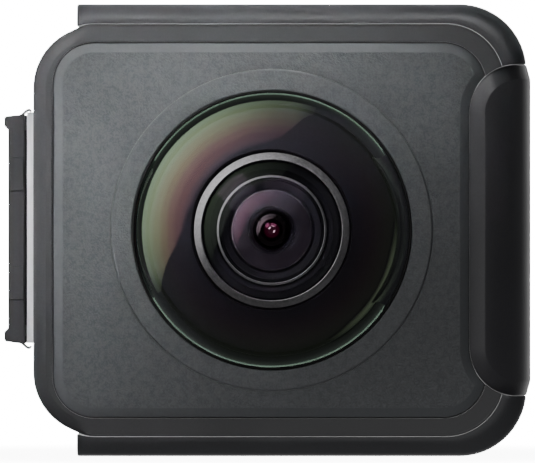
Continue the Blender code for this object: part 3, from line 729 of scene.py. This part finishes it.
LENS_STACK = (
    dome, second_element, lens_ring, seal_ring, baffle, cone_ring, inner_cup, trim_ring,
    third_mount, third_element, iris, rear_group,
)


# ---------------------------------------------------------------- docking connector
PLUG_LEFT, PLUG_BACK = -30.6 * MM, -28.66 * MM
PLUG_HALF_Y = 7.5 * MM
PLUG_LOW, PLUG_HIGH = 13.3 * MM, 40.2 * MM
HOOK_REACH = 0.45 * MM
HOOK_HEIGHT = 1.3 * MM
RECESS_HALF = (3.4 * MM, 9.0 * MM)
RECESS_DEPTH = 1.4 * MM
KEY_CENTRES = (20.4 * MM, 33.2 * MM)
KEY_HEIGHT = 3.9 * MM
KEY_PROUD = 0.35 * MM
RELIEF_HALF_Y = 3.4 * MM
RELIEF_DEPTH = 0.75 * MM
OPENING_HALF = (6.2 * MM, 11.8 * MM)
DOCK_MID_Z = sum(span("dock_frame")[2]) / 2
CONTACT_ROWS = 7
CONTACT_PITCH = 2.2 * MM
CONTACT_Y = 1.4 * MM
SEAT_HALF = (0.75 * MM, 0.6 * MM)
PAD_SIZE = (0.16 * MM, 1.2 * MM, 0.9 * MM)


def reliefs():
    """Room under both leaf springs."""
    y_range = (-RELIEF_HALF_Y, RELIEF_HALF_Y)
    return [
        block("relief", (-FAR, COVER_LEFT), y_range, (PLUG_HIGH - RELIEF_DEPTH, FAR)),
        block("relief", (-FAR, COVER_LEFT), y_range, (-FAR, PLUG_LOW + RELIEF_DEPTH)),
    ]


def around_dock(half, grow=0.0):
    return (
        (-half[0] - grow, half[0] + grow),
        (DOCK_MID_Z - half[1] - grow, DOCK_MID_Z + half[1] + grow),
    )


def connector_housing():
    lip = PLUG_LEFT - HOOK_REACH
    taper = 0.15 * MM
    outline = [
        (PLUG_BACK, PLUG_LOW - taper),
        (PLUG_BACK, PLUG_HIGH + taper / 2),
        (lip + 0.2 * MM, PLUG_HIGH - taper),
        (lip, PLUG_HIGH - taper - 0.2 * MM),
        (lip, PLUG_HIGH - HOOK_HEIGHT),
        (PLUG_LEFT, PLUG_HIGH - HOOK_HEIGHT - HOOK_REACH),
        (PLUG_LEFT, PLUG_LOW + HOOK_HEIGHT + HOOK_REACH),
        (lip, PLUG_LOW + HOOK_HEIGHT),
        (lip, PLUG_LOW + taper + 0.2 * MM),
        (lip + 0.2 * MM, PLUG_LOW + taper),
    ]
    body = prism("connector_housing", outline, (-PLUG_HALF_Y, PLUG_HALF_Y))
    _, stem_end = span("connector_housing")[0]
    middle = (PLUG_LEFT + PLUG_BACK) / 2
    extras = [block("stem", (middle, stem_end), *around_dock(OPENING_HALF, -GAP))]
    for centre in KEY_CENTRES:
        extras.append(block(
            "key", (PLUG_LEFT + 0.15 * MM, PLUG_BACK - 0.15 * MM),
            (-PLUG_HALF_Y - KEY_PROUD, PLUG_HALF_Y + KEY_PROUD),
            (centre - KEY_HEIGHT / 2, centre + KEY_HEIGHT / 2),
        ))
    body = combine(body, extras, "UNION")
    recess = block("recess", (-FAR, PLUG_LEFT + RECESS_DEPTH), *around_dock(RECESS_HALF))
    body = combine(body, [recess, *reliefs()])
    body = soften(body, 0.09 * MM, segments=3, angle=25)
    piece(body, "connector_housing_look", [PLUG_PLASTIC], "connector_housing")


def dock_frame():
    x_range = span("dock_frame")[0]
    half = (span("dock_frame")[1][1], span("dock_frame")[2][1] - DOCK_MID_Z)
    body = block("dock_frame", x_range, *around_dock(half))
    body = combine(body, [block("opening", (-FAR, 0), *around_dock(OPENING_HALF)), *reliefs()])
    body = soften(body, 0.1 * MM, segments=3, angle=40)
    piece(body, "dock_frame_look", [BRIGHT_METAL], "dock_frame")


def contact_carrier():
    """Carrier with two rows of sprung gold contacts."""
    x_range, y_range, z_range = span("contact_carrier")
    left = x_range[0]
    rows = [DOCK_MID_Z + (row - (CONTACT_ROWS - 1) / 2) * CONTACT_PITCH for row in range(CONTACT_ROWS)]
    places = [(y, z) for z in rows for y in (-CONTACT_Y, CONTACT_Y)]
    half_y, half_z = SEAT_HALF
    seats = [
        block("seat", (-FAR, left + 0.25 * MM), (y - half_y, y + half_y), (z - half_z, z + half_z))
        for y, z in places
    ]
    body = combine(block("contact_carrier", x_range, y_range, z_range), seats)
    body = soften(body, 0.06 * MM, angle=40)
    piece(body, "contact_carrier_look", [PLUG_PLASTIC], "contact_carrier")
    pads = bmesh.new()
    for y, z in places:
        centre = Matrix.Translation((left + 0.15 * MM, y, z))
        bmesh.ops.create_cube(pads, size=1, matrix=centre @ Matrix.Diagonal((*PAD_SIZE, 1)))
    made = soften(from_bmesh("dock_contacts", pads), 0.05 * MM, angle=40)
    piece(made, "dock_contacts", [GOLD])


def leaf_spring(name, way):
    """Thin rounded leaf over or under the plug, crowned near the body."""
    base = PLUG_HIGH if way > 0 else PLUG_LOW
    knots = [
        (-30.3, -0.2), (-29.9, -0.14), (-29.5, -0.05), (-29.05, 0.24), (-28.7, 0.56),
        (-28.35, 0.76), (-28.1, 0.75), (-27.95, 0.5),
    ]
    points = spline_points([Vector((x * MM, rise * MM)) for x, rise in knots], 6)
    thick = 0.22 * MM
    half = 3.0 * MM
    cross = 0.09 * MM  # chamfer along both long edges
    widths = [(-half, cross), (-half + cross, 0.0), (half - cross, 0.0), (half, cross)]
    rings = []
    for index, point in enumerate(points):
        before = points[max(index - 1, 0)]
        after = points[min(index + 1, len(points) - 1)]
        along = (after - before).normalized()
        up = Vector((-along.y, along.x))
        top = [(point, y, fall) for y, fall in widths]
        lower = [(point - up * thick, y, -fall) for y, fall in reversed(widths)]
        section = []
        for place, y, fall in top + lower:
            spot = place - up * fall
            section.append((spot.x, y, base + way * spot.y))
        rings.append(section)
    body = loft(name, rings)
    piece(body, f"{name}_look", [SPRING_STEEL], name, body=name)


def spline_points(knots, steps):
    """Points along a Catmull-Rom curve through the knots."""
    padded = [2 * knots[0] - knots[1], *knots, 2 * knots[-1] - knots[-2]]
    points = []
    for index in range(1, len(padded) - 2):
        a, b, c, d = padded[index - 1:index + 3]
        for step in range(steps):
            t = step / steps
            points.append(
                b + (c - a) * t / 2 + (a - b * 2.5 + c * 2 - d / 2) * t * t
                + (b * 1.5 - c * 1.5 + (d - a) / 2) * t**3
            )
    points.append(knots[-1])
    return points


# ---------------------------------------------------------------- materials
class Tree:
    """Short hand for a material's or a world's nodes."""

    def __init__(self, owner):
        owner.use_nodes = True
        self.nodes = owner.node_tree.nodes
        self.links = owner.node_tree.links
        self.nodes.clear()

    def add(self, kind, settings=None, **inputs):
        """New node. Inputs are values, or sockets to link from; underscores stand for spaces."""
        node = self.nodes.new(kind)
        for key, value in (settings or {}).items():
            setattr(node, key, value)
        for key, value in inputs.items():
            self.feed(node.inputs[key.replace("_", " ")], value)
        return node

    def feed(self, socket, value):
        """Links a socket or sets its value; a colour may leave out its alpha."""
        if isinstance(value, bpy.types.NodeSocket):
            self.links.new(value, socket)
        elif socket.type == "RGBA":
            socket.default_value = (*value[:3], 1)
        else:
            socket.default_value = value

    def math(self, operation, first, second=0.0):
        node = self.add("ShaderNodeMath", {"operation": operation})
        self.feed(node.inputs[0], first)
        self.feed(node.inputs[1], second)
        return node.outputs[0]

    def vector_math(self, operation, *values):
        node = self.add("ShaderNodeVectorMath", {"operation": operation})
        for socket, value in zip(node.inputs, values):
            self.feed(socket, value)
        return node.outputs["Value" if operation == "LENGTH" else "Vector"]

    def ramp(self, factor, stops, interpolation="LINEAR"):
        node = self.nodes.new("ShaderNodeValToRGB")
        node.color_ramp.interpolation = interpolation
        elements = node.color_ramp.elements
        while len(elements) < len(stops):
            elements.new(1.0)
        for element, (place, colour) in zip(elements, stops):
            element.position = place
            element.color = (*colour, 1)
        self.links.new(factor, node.inputs[0])
        return node.outputs["Color"]

    def remap(self, value, old, new, smooth=False):
        node = self.nodes.new("ShaderNodeMapRange")
        node.interpolation_type = "SMOOTHSTEP" if smooth else "LINEAR"
        self.links.new(value, node.inputs["Value"])
        for key, number in zip(("From Min", "From Max", "To Min", "To Max"), (*old, *new)):
            node.inputs[key].default_value = number
        return node.outputs["Result"]

    def position(self):
        return self.add("ShaderNodeTexCoord").outputs["Object"]

    def off_axis(self):
        """Distance from the lens axis."""
        place = self.vector_math("SUBTRACT", self.position(), (LENS_X, 0, MID_Z))
        return self.vector_math("LENGTH", self.vector_math("MULTIPLY", place, (1, 0, 1)))

    def facing(self):
        """0 where the surface faces the viewer, rising to 1 where it is seen edge-on."""
        return self.add("ShaderNodeLayerWeight", Blend=0.5).outputs["Facing"]

    def grey(self, value):
        return self.add("ShaderNodeCombineColor", Red=value, Green=value, Blue=value).outputs[0]

    def mottled(self, colour):
        """A colour that varies slightly from place to place."""
        depth = self.remap(self.noise(700.0, 3.0), (0.3, 0.7), (0.9, 1.1))
        return self.blend(1.0, colour, self.grey(depth), "MULTIPLY")

    def noise(self, scale, detail=2.0, roughness=0.5, vector=None):
        node = self.add("ShaderNodeTexNoise", Scale=scale, Detail=detail, Roughness=roughness)
        self.links.new(vector or self.position(), node.inputs["Vector"])
        return node.outputs["Fac"]

    def bump(self, height, strength, distance):
        node = self.add("ShaderNodeBump", Height=height, Strength=strength, Distance=distance)
        return node.outputs["Normal"]

    def blend(self, factor, first, second, kind="MIX"):
        node = self.add("ShaderNodeMix", {"data_type": "RGBA", "blend_type": kind})
        sockets = [s for s in node.inputs if s.enabled and s.type in ("VALUE", "RGBA")]
        for socket, value in zip(sockets, (factor, first, second)):
            self.feed(socket, value)
        return next(s for s in node.outputs if s.enabled)

    def both(self, first, second):
        """Two shaders added together."""
        node = self.nodes.new("ShaderNodeAddShader")
        self.links.new(first.outputs[0], node.inputs[0])
        self.links.new(second.outputs[0], node.inputs[1])
        return node

    def mix(self, factor, first, second):
        """Two shaders mixed."""
        node = self.nodes.new("ShaderNodeMixShader")
        self.links.new(factor, node.inputs[0])
        self.links.new(first.outputs[0], node.inputs[1])
        self.links.new(second.outputs[0], node.inputs[2])
        return node

    def out(self, shader, kind="ShaderNodeOutputMaterial"):
        self.links.new(shader.outputs[0], self.nodes.new(kind).inputs["Surface"])


def new_material(name):
    made = bpy.data.materials.new(name)
    return made, Tree(made)


def shades(colour, low, high):
    """A darker and a lighter version of a colour, for a ramp."""
    return [(0.35, tuple(c * low for c in colour)), (0.65, tuple(c * high for c in colour))]


def moulded(name, colour, roughness, grain, depth, metallic=0.0, specular=0.5):
    """Plastic or painted metal: fine texture, uneven gloss and slightly uneven colour."""
    made, tree = new_material(name)
    fine = tree.noise(grain, 3.0, 0.6)
    broad = tree.noise(60.0, 3.0, 0.55)
    uneven = tree.math("ADD", tree.math("MULTIPLY", fine, 0.6), tree.math("MULTIPLY", broad, 0.4))
    tint = tree.ramp(uneven, shades(colour, 0.9, 1.1))
    smudged = tree.remap(broad, (0.3, 0.7), (roughness - 0.05, roughness + 0.06))
    shader = tree.add(
        "ShaderNodeBsdfPrincipled", Base_Color=tint, Roughness=smudged, Metallic=metallic,
        Specular_IOR_Level=specular, Normal=tree.bump(fine, 0.35, depth),
    )
    tree.out(shader)
    return made


def grained(name, colour, roughness, pitch, strength, depth):
    """Plate plastic: worm-like leather grain on the flat face, and a smoother chamfer."""
    made, tree = new_material(name)
    place = tree.position()
    bend = tree.add("ShaderNodeTexNoise", Vector=place, Scale=1.1 / pitch, Detail=2.0)
    warped = tree.vector_math("MULTIPLY_ADD", bend.outputs["Color"], (pitch * 0.8,) * 3, place)
    first = tree.noise(1.0 / pitch, 1.5, 0.5, warped)
    second = tree.noise(0.47 / pitch, 2.0, 0.5, warped)
    ridge = tree.math("ABSOLUTE", tree.math("SUBTRACT", first, 0.5))
    groove = tree.remap(ridge, (0.0, 0.13), (0.0, 1.0), smooth=True)
    pits = tree.remap(second, (0.36, 0.6), (0.0, 1.0), smooth=True)
    height = tree.math("ADD", tree.math("MULTIPLY", groove, 0.6), tree.math("MULTIPLY", pits, 0.4))
    normal = tree.add("ShaderNodeNewGeometry").outputs["True Normal"]
    facing = tree.math("ABSOLUTE", tree.add("ShaderNodeSeparateXYZ", Vector=normal).outputs["Y"])
    flat = tree.remap(facing, (0.965, 0.995), (0.12, 1.0), smooth=True)
    broad = tree.noise(45.0, 3.0, 0.6)
    tint = tree.ramp(height, [
        (0.0, tuple(c * 0.80 for c in colour)),
        (0.55, colour),
        (1.0, tuple(c * 1.10 for c in colour)),
    ])
    even = tree.blend(flat, tuple(c * 1.02 for c in colour), tint)
    worn = tree.blend(1.0, even, (0.93, 0.93, 0.93), "MULTIPLY")
    tint = tree.blend(tree.remap(broad, (0.3, 0.7), (0.0, 1.0)), even, worn)
    rough = tree.remap(height, (0.0, 1.0), (roughness + 0.1, roughness - 0.04))
    shader = tree.add(
        "ShaderNodeBsdfPrincipled", Base_Color=tint, Roughness=rough, Specular_IOR_Level=0.45,
        Normal=tree.bump(height, tree.math("MULTIPLY", flat, strength), depth),
    )
    tree.out(shader)
    return made


def metal(name, colour, roughness, metallic=1.0, stretch=(1.0, 1.0, 1.0)):
    """Bare metal with fine brushed or turned lines, along the axis with the smallest stretch."""
    made, tree = new_material(name)
    place = tree.add("ShaderNodeMapping", Vector=tree.position(), Scale=stretch)
    lines = tree.noise(2500.0, 3.0, 0.6, place.outputs[0])
    broad = tree.noise(180.0, 3.0)
    tint = tree.ramp(lines, shades(colour, 0.88, 1.08))
    scratched = tree.remap(lines, (0.3, 0.7), (-0.06, 0.06))
    smudged = tree.remap(broad, (0.3, 0.7), (roughness - 0.04, roughness + 0.05))
    gloss = tree.math("ADD", scratched, smudged)
    shader = tree.add(
        "ShaderNodeBsdfPrincipled", Base_Color=tint, Roughness=gloss, Metallic=metallic,
        Normal=tree.bump(lines, 0.1, 0.004 * MM),
    )
    tree.out(shader)
    return made


def clear_in_mirrors(made):
    """Lets reflections pass straight through a material that covers inner pieces."""
    nodes, links = made.node_tree.nodes, made.node_tree.links
    surface = next(node for node in nodes if node.type == "OUTPUT_MATERIAL").inputs["Surface"]
    shader = surface.links[0].from_socket
    mix = nodes.new("ShaderNodeMixShader")
    links.new(nodes.new("ShaderNodeLightPath").outputs["Is Glossy Ray"], mix.inputs[0])
    links.new(shader, mix.inputs[1])
    links.new(nodes.new("ShaderNodeBsdfTransparent").outputs[0], mix.inputs[2])
    links.new(mix.outputs[0], surface)


def coated(name, stops, through):
    """Clear coated glass: the coating's colour and strength change with the viewing slope."""
    made, tree = new_material(name)
    wipe = tree.remap(tree.noise(160.0, 4.0, 0.6), (0.3, 0.7), (-0.006, 0.006))
    colour = tree.ramp(tree.math("ADD", tree.facing(), wipe), stops, "EASE")
    dust = tree.remap(tree.noise(900.0, 4.0, 0.7), (0.35, 0.8), (0.015, 0.035))
    mirror = tree.add("ShaderNodeBsdfGlossy", Color=colour, Roughness=dust)
    clear = tree.add("ShaderNodeBsdfTransparent", Color=through)
    tree.out(tree.both(clear, mirror))
    return made


def clear_glass():
    made, tree = new_material("clear_glass")
    haze = tree.remap(tree.noise(300.0, 3.0), (0.3, 0.7), (0.965, 0.985))
    tree.out(tree.add("ShaderNodeBsdfTransparent", Color=tree.grey(haze)))
    return made


def veiled(name, body, radii, stops):
    """Coated glass that is clear in its middle and has a tinted veil outside a radius."""
    made, tree = new_material(name)
    veil = tree.remap(tree.off_axis(), radii, (0.0, 1.0), smooth=True)
    colour = tree.ramp(tree.facing(), stops, "EASE")
    mirror = tree.add("ShaderNodeBsdfGlossy", Color=colour, Roughness=0.05)
    matte = tree.add("ShaderNodeBsdfDiffuse", Color=tree.mottled(body))
    clear = tree.add("ShaderNodeBsdfTransparent", Color=(0.9, 0.88, 0.92))
    tree.out(tree.both(tree.mix(veil, clear, matte), mirror))
    return made


def coated_body(name, body, stops, roughness=0.03, painted_glow=None):
    """Deep tinted glass that shows its coating over a dark inside.

    Its last argument, when given, holds a radius and the colour of a painted glow inside it: an emission
    that stands in for the light coming back from the depth."""
    made, tree = new_material(name)
    colour = tree.ramp(tree.facing(), stops, "EASE")
    mirror = tree.add("ShaderNodeBsdfGlossy", Color=colour, Roughness=roughness)
    matte = tree.add("ShaderNodeBsdfDiffuse", Color=tree.mottled(body))
    shader = tree.both(matte, mirror)
    if painted_glow:
        radius, glow = painted_glow
        # painted glow: the middle of the glass emits light of its own, standing in for light from the
        # depth
        level = tree.remap(tree.off_axis(), (0.75 * radius, 1.1 * radius), (1.0, 0.0), smooth=True)
        shader = tree.both(shader, tree.add("ShaderNodeEmission", Color=glow, Strength=level))
    tree.out(shader)
    return made


FRAME_METAL = moulded("frame_metal", (0.047, 0.048, 0.052), 0.36, 5200.0, 0.006 * MM, 0.1)
COVER_PLASTIC = moulded("cover_plastic", (0.038, 0.0385, 0.0415), 0.42, 4500.0, 0.008 * MM)
PLATE_PLASTIC = grained("plate_plastic", (0.087, 0.092, 0.099), 0.58, 0.36 * MM, 1.0, 0.055 * MM)
RING_PLASTIC = grained("ring_plastic", (0.087, 0.092, 0.099), 0.57, 0.36 * MM, 0.8, 0.045 * MM)
CAP_PLASTIC = moulded("cap_plastic", (0.052, 0.051, 0.057), 0.34, 5200.0, 0.003 * MM)
PLUG_PLASTIC = moulded("plug_plastic", (0.022, 0.022, 0.024), 0.46, 3800.0, 0.01 * MM)
# black plastic of the sensor holder, also used as painted shade on the plate's side walls
BLACK_PLASTIC_AND_GAP_SHADE = moulded("black_plastic", (0.03, 0.03, 0.032), 0.5, 3800.0, 0.01 * MM)
BLACK_METAL = moulded("black_metal", (0.020, 0.018, 0.024), 0.6, 3500.0, 0.01 * MM, 0.0, 0.1)
IRIS_METAL = moulded("iris_metal", (0.085, 0.062, 0.088), 0.5, 4200.0, 0.006 * MM, 0.0, 0.1)
RUBBER = moulded("seal_rubber", (0.008, 0.008, 0.008), 0.7, 2500.0, 0.015 * MM, 0.0, 0.3)
GREY_METAL = metal("grey_metal", (0.90, 0.885, 0.89), 0.46)
CHASSIS_METAL = metal("chassis_metal", (0.42, 0.42, 0.42), 0.45)
BRIGHT_METAL = metal("bright_metal", (0.88, 0.88, 0.91), 0.36, 0.25, (1.0, 1.0, 0.05))
SPRING_STEEL = metal("spring_steel", (0.46, 0.46, 0.47), 0.3, 0.9, (0.1, 1.0, 1.0))
SCREW_STEEL = metal("screw_steel", (0.32, 0.32, 0.33), 0.35)
GOLD = metal("contact_gold", (0.83, 0.60, 0.27), 0.28)
CLEAR_GLASS = clear_glass()
DOME_COAT = coated("dome_coating", [
    (0.0, (0.002, 0.002, 0.003)),
    (0.11, (0.006, 0.004, 0.006)),
    (0.153, (0.060, 0.040, 0.045)),
    (0.205, (0.135, 0.068, 0.064)),
    (0.240, (0.192, 0.122, 0.092)),
    (0.279, (0.235, 0.198, 0.120)),
    (0.324, (0.270, 0.290, 0.170)),
    (0.380, (0.295, 0.370, 0.230)),
    (0.435, (0.290, 0.390, 0.260)),
    (0.52, (0.130, 0.190, 0.145)),
], (0.95, 0.95, 0.97))
SECOND_COAT = coated("second_coating", [
    (0.0, (0.0, 0.0, 0.0)),
    (0.12, (0.002, 0.002, 0.002)),
    (0.16, (0.030, 0.034, 0.030)),
    (0.40, (0.034, 0.048, 0.030)),
], (0.96, 0.96, 0.97))
THIRD_COAT = veiled("third_coating", (0.062, 0.052, 0.068), (2.2 * MM, 3.0 * MM), [
    (0.0, (0.0, 0.0, 0.0)),
    (0.10, (0.003, 0.002, 0.002)),
    (0.16, (0.060, 0.022, 0.034)),
    (0.24, (0.130, 0.046, 0.070)),
    (0.32, (0.170, 0.095, 0.125)),
    (0.42, (0.240, 0.200, 0.215)),
    (0.55, (0.240, 0.210, 0.220)),
])
# pupil glass, with a painted red glow in its middle
PUPIL_GLASS = coated_body("pupil_glass", (0.160, 0.006, 0.036), [
    (0.0, (0.55, 0.36, 0.42)),
    (0.018, (0.50, 0.30, 0.36)),
    (0.028, (0.04, 0.01, 0.02)),
    (0.12, (0.03, 0.01, 0.02)),
    (0.20, (0.26, 0.19, 0.21)),
    (0.40, (0.32, 0.26, 0.29)),
], painted_glow=(0.95 * MM, (0.026, 0.0015, 0.008)))
TINTED_GLASS = coated_body("tinted_glass", (0.12, 0.05, 0.10), [
    (0.0, (0.03, 0.02, 0.05)), (0.6, (0.10, 0.06, 0.12)),
])
SENSOR_DARK = coated_body("sensor_dark", (0.04, 0.03, 0.06), [
    (0.0, (0.02, 0.03, 0.05)), (0.6, (0.10, 0.08, 0.12)),
], 0.12)
BOARD_GREEN = moulded("board_green", (0.015, 0.10, 0.045), 0.42, 1600.0, 0.02 * MM)
FLEX_FILM = moulded("flex_film", (0.45, 0.20, 0.045), 0.38, 1600.0, 0.01 * MM)

for hidden in (CHASSIS_METAL, SCREW_STEEL, BLACK_METAL):
    clear_in_mirrors(hidden)

CARRIED = {
    "chassis": CHASSIS_METAL,
    "dock_board": BOARD_GREEN,
    "dock_gasket": RUBBER,
    "_dome_seal": RUBBER,
    "_lens_barrel": BLACK_METAL,
    "_ir_filter": TINTED_GLASS,
    "_image_sensor": SENSOR_DARK,
    "_sensor_holder": BLACK_PLASTIC_AND_GAP_SHADE,
    "_sensor_board": BOARD_GREEN,
    "_flex": FLEX_FILM,
    "_cover_screw_1": SCREW_STEEL,
    "_cover_screw_2": SCREW_STEEL,
    "_cover_screw_3": SCREW_STEEL,
    "_cover_screw_4": SCREW_STEEL,
}


def dress_carried_nodes():
    """Gives the CAD nodes that stay in view their finished materials."""
    for ending, made in CARRIED.items():
        for side in ([""] if not ending.startswith("_") else SIDES):
            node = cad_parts[side + ending]
            node.data.materials.clear()
            node.data.materials.append(made)


# ---------------------------------------------------------------- studio
VIEW_WIDTH = 62.86 * MM
VIEW_DISTANCE = 1.5
VIEW_CENTRE = (0.01 * MM, 26.44 * MM)
SENSOR = 36.0


def make_camera():
    """Long lens, level with the middle of the object and straight in front of it."""
    data = bpy.data.cameras.new("camera")
    data.sensor_width = SENSOR
    data.lens = SENSOR * VIEW_DISTANCE / VIEW_WIDTH
    data.clip_end = 20.0
    camera = bpy.data.objects.new("camera", data)
    bpy.context.scene.collection.objects.link(camera)
    camera.location = (VIEW_CENTRE[0], -FACE - VIEW_DISTANCE, VIEW_CENTRE[1])
    camera.rotation_euler = (math.pi / 2, 0, 0)
    bpy.context.scene.camera = camera


def make_world():
    """White studio: bright behind the object, dim on its front side."""
    world = bpy.data.worlds.new("studio")
    bpy.context.scene.world = world
    tree = Tree(world)
    direction = tree.add("ShaderNodeTexCoord").outputs["Generated"]
    depth = tree.add("ShaderNodeSeparateXYZ", Vector=direction).outputs["Y"]
    paths = tree.add("ShaderNodeLightPath").outputs
    mirror_ray = paths["Is Glossy Ray"]
    mirrored = tree.remap(depth, (0.38, 0.95), (0.018, 1.1), smooth=True)
    spread = tree.remap(depth, (0.1, 0.9), (0.03, 1.0), smooth=True)
    rest = tree.math("MULTIPLY", spread, tree.math("SUBTRACT", 1.0, mirror_ray))
    glow = tree.math("ADD", tree.math("MULTIPLY", mirrored, mirror_ray), rest)
    strength = tree.math("ADD", glow, tree.math("MULTIPLY", paths["Is Camera Ray"], 18.0))
    background = tree.add("ShaderNodeBackground", Color=(1, 1, 1), Strength=strength)
    tree.out(background, "ShaderNodeOutputWorld")


def make_floor():
    """Pale floor that fades to white away from the object."""
    floor = block("floor", (-2.0, 2.0), (-2.0, 2.0), (-0.01, -0.00002))
    made, tree = new_material("floor_white")
    place = tree.position()
    fade = tree.remap(tree.vector_math("LENGTH", place), (0.03, 0.10), (0.55, 1.0), smooth=True)
    speckle = tree.remap(tree.noise(400.0, 3.0), (0.3, 0.7), (0.80, 0.84))
    matte = tree.add("ShaderNodeBsdfDiffuse", Color=tree.grey(speckle))
    seen = tree.add("ShaderNodeLightPath").outputs["Is Camera Ray"]
    depth = tree.math("ABSOLUTE", tree.add("ShaderNodeSeparateXYZ", Vector=place).outputs["Y"])
    spill = tree.remap(depth, (0.016, 0.036), (0.55, 0.03), smooth=True)
    glow = tree.math("ADD", tree.math("MULTIPLY", seen, 17.8), spill)
    white = tree.add("ShaderNodeEmission", Color=(1, 1, 1), Strength=glow)
    tree.out(tree.mix(tree.math("MAXIMUM", tree.math("SUBTRACT", 1.0, seen), fade), matte, white))
    floor.data.materials.append(made)
    floor.visible_glossy = False


def softbox(name, place, aim, size, radiance, glossy=True, diffuse=True):
    """Rectangular area light with a given radiance, turned to face a point."""
    data = bpy.data.lights.new(name, "AREA")
    data.shape = "RECTANGLE"
    data.size, data.size_y = size
    data.energy = radiance * math.pi * size[0] * size[1]
    lamp = bpy.data.objects.new(name, data)
    bpy.context.scene.collection.objects.link(lamp)
    lamp.location = place
    direction = Vector(aim) - Vector(place)
    across = Vector((0, 1, 0))
    forward = direction.normalized()
    side = forward.cross(across).normalized()
    up = side.cross(forward)
    lamp.matrix_world = Matrix.Translation(place) @ Matrix((side, up, -forward)).transposed().to_4x4()
    lamp.visible_camera = False
    lamp.visible_glossy = glossy
    lamp.visible_diffuse = diffuse
    return lamp


def toward(turn, tilt):
    """Unit vector at an angle round the lens axis, tilted from the front of the axis, in degrees."""
    out = math.radians(turn)
    lean = math.radians(tilt)
    return Vector((math.sin(lean) * math.cos(out), -math.cos(lean), math.sin(lean) * math.sin(out)))


def sky_panel(name, distance, inner_edge, outer_tilt, brightness, soft, radiance):
    """Curved panel round the lens axis, with a faded rim.

    inner_edge lists (turn, tilt) pairs, brightness lists (share of the way round, factor) pairs."""
    columns, rows = 64, 24
    turns = [turn for turn, _ in inner_edge]
    centre = Vector((LENS_X, -LENS_TIP * 0.6, MID_Z))
    solid = bmesh.new()
    layer = solid.loops.layers.uv.new("spread")
    grid = []
    for column in range(columns + 1):
        turn = turns[0] + (turns[-1] - turns[0]) * column / columns
        near = interpolate(inner_edge, turn)
        tilts = [near + (outer_tilt - near) * row / rows for row in range(rows + 1)]
        grid.append([solid.verts.new(centre + toward(turn, tilt) * distance) for tilt in tilts])
    for column in range(columns):
        for row in range(rows):
            steps = ((0, 0), (1, 0), (1, 1), (0, 1))
            face = solid.faces.new([grid[column + a][row + b] for a, b in steps])
            for loop, (a, b) in zip(face.loops, steps):
                loop[layer].uv = ((column + a) / columns, (row + b) / rows)
    mesh = bpy.data.meshes.new(name)
    solid.to_mesh(mesh)
    solid.free()
    panel = new_object(name, mesh)
    made, tree = new_material(name)
    place = tree.add("ShaderNodeSeparateXYZ", Vector=tree.add("ShaderNodeTexCoord").outputs["UV"])
    along, across = place.outputs["X"], place.outputs["Y"]
    level = tree.ramp(along, [(share, (factor,) * 3) for share, factor in brightness], "B_SPLINE")
    fade = tree.remap(across, (0.0, soft[0]), (0.0, 1.0), smooth=True)
    edge = tree.remap(across, (1.0 - soft[1], 1.0), (1.0, 0.0), smooth=True)
    full = tree.math("MULTIPLY", level, radiance)
    strength = tree.math("MULTIPLY", full, tree.math("MULTIPLY", fade, edge))
    tree.out(tree.add("ShaderNodeEmission", Color=(1, 1, 1), Strength=strength))
    mesh.materials.append(made)
    panel.visible_camera = False
    panel.visible_shadow = False
    panel.visible_diffuse = False


def interpolate(pairs, value):
    """Value at a place along a list of (place, value) pairs in rising order."""
    for (low, first), (high, second) in zip(pairs, pairs[1:]):
        if value <= high:
            return first + (second - first) * (value - low) / (high - low)
    return pairs[-1][1]


def beam(name, place, aim, size, radiance, reach):
    """Area light whose beam fades to nothing at a reach from its aim."""
    lamp = softbox(name, place, aim, size, radiance, glossy=False)
    distance = (Vector(aim) - Vector(place)).length
    lamp.data.spread = 2 * math.atan(reach / distance)


def make_lights():
    middle = Vector((LENS_X, -LENS_TIP * 0.6, MID_Z))
    sky_panel(
        "side_panel", 200 * MM,
        [(70, 100), (73, 96), (78, 81), (84, 70), (95, 64), (125, 61), (160, 61), (180, 66),
         (190, 74), (200, 90), (209, 105)],
        110.5,
        [(0.0, 0.02), (0.06, 0.22), (0.17, 0.30), (0.33, 0.75), (0.5, 1.0), (0.62, 0.95),
         (0.8, 0.7), (0.92, 0.4), (1.0, 0.02)],
        (0.12, 0.04), 0.8,
    )
    sky_panel(
        "low_panel", 200 * MM, [(-62, 100), (-50, 97), (-10, 97), (4, 100)], 107,
        [(0.0, 0.0), (0.3, 1.0), (0.7, 1.0), (1.0, 0.0)], (0.5, 0.4), 0.15,
    )
    plate_middle = Vector((LENS_X, -PLATE_FACE, MID_Z))
    aim = plate_middle + Vector((-14.8, 0, 18.9)) * MM
    beam("key", aim + toward(128, 42) * 260 * MM, aim, (90 * MM, 10 * MM), 6.4, 28 * MM)
    softbox(
        "fill", middle + Vector((-60, -700, 80)) * MM, middle, (420 * MM, 420 * MM), 2.2, glossy=False,
    )
    softbox(
        "window", middle + toward(132, 38) * 0.5, middle, (190 * MM, 190 * MM), 7.0, diffuse=False,
    )
    softbox(
        "top", Vector((-5, 30, 420)) * MM, Vector((0, 0, 50)) * MM, (380 * MM, 160 * MM), 2.2,
        glossy=False,
    )
    softbox(
        "upper_window", middle + toward(72, 32) * 0.5, middle, (260 * MM, 150 * MM), 4.6, diffuse=False,
    )
    for turn, tilt, away in ((135, 17, 0.6), (-27, 16, 0.1)):
        place = middle + toward(turn, tilt) * away
        softbox("spark", place, middle, (0.26 * away, 0.12 * away), 3.0, diffuse=False)


# ---------------------------------------------------------------- the object
outer_frame()
end_cap()
for lens_side in SIDES:
    cover(lens_side)
    plate(lens_side)
    for lens_part in LENS_STACK:
        lens_part(lens_side)
connector_housing()
dock_frame()
contact_carrier()
leaf_spring("latch_spring_upper", 1)
leaf_spring("latch_spring_lower", -1)
dress_carried_nodes()
for unseen in ["outer_frame_look"] + [f"{side}_{name}" for side in SIDES for name in NO_MIRROR]:
    bpy.data.objects[unseen].visible_glossy = False

make_camera()
make_world()
make_floor()
make_lights()
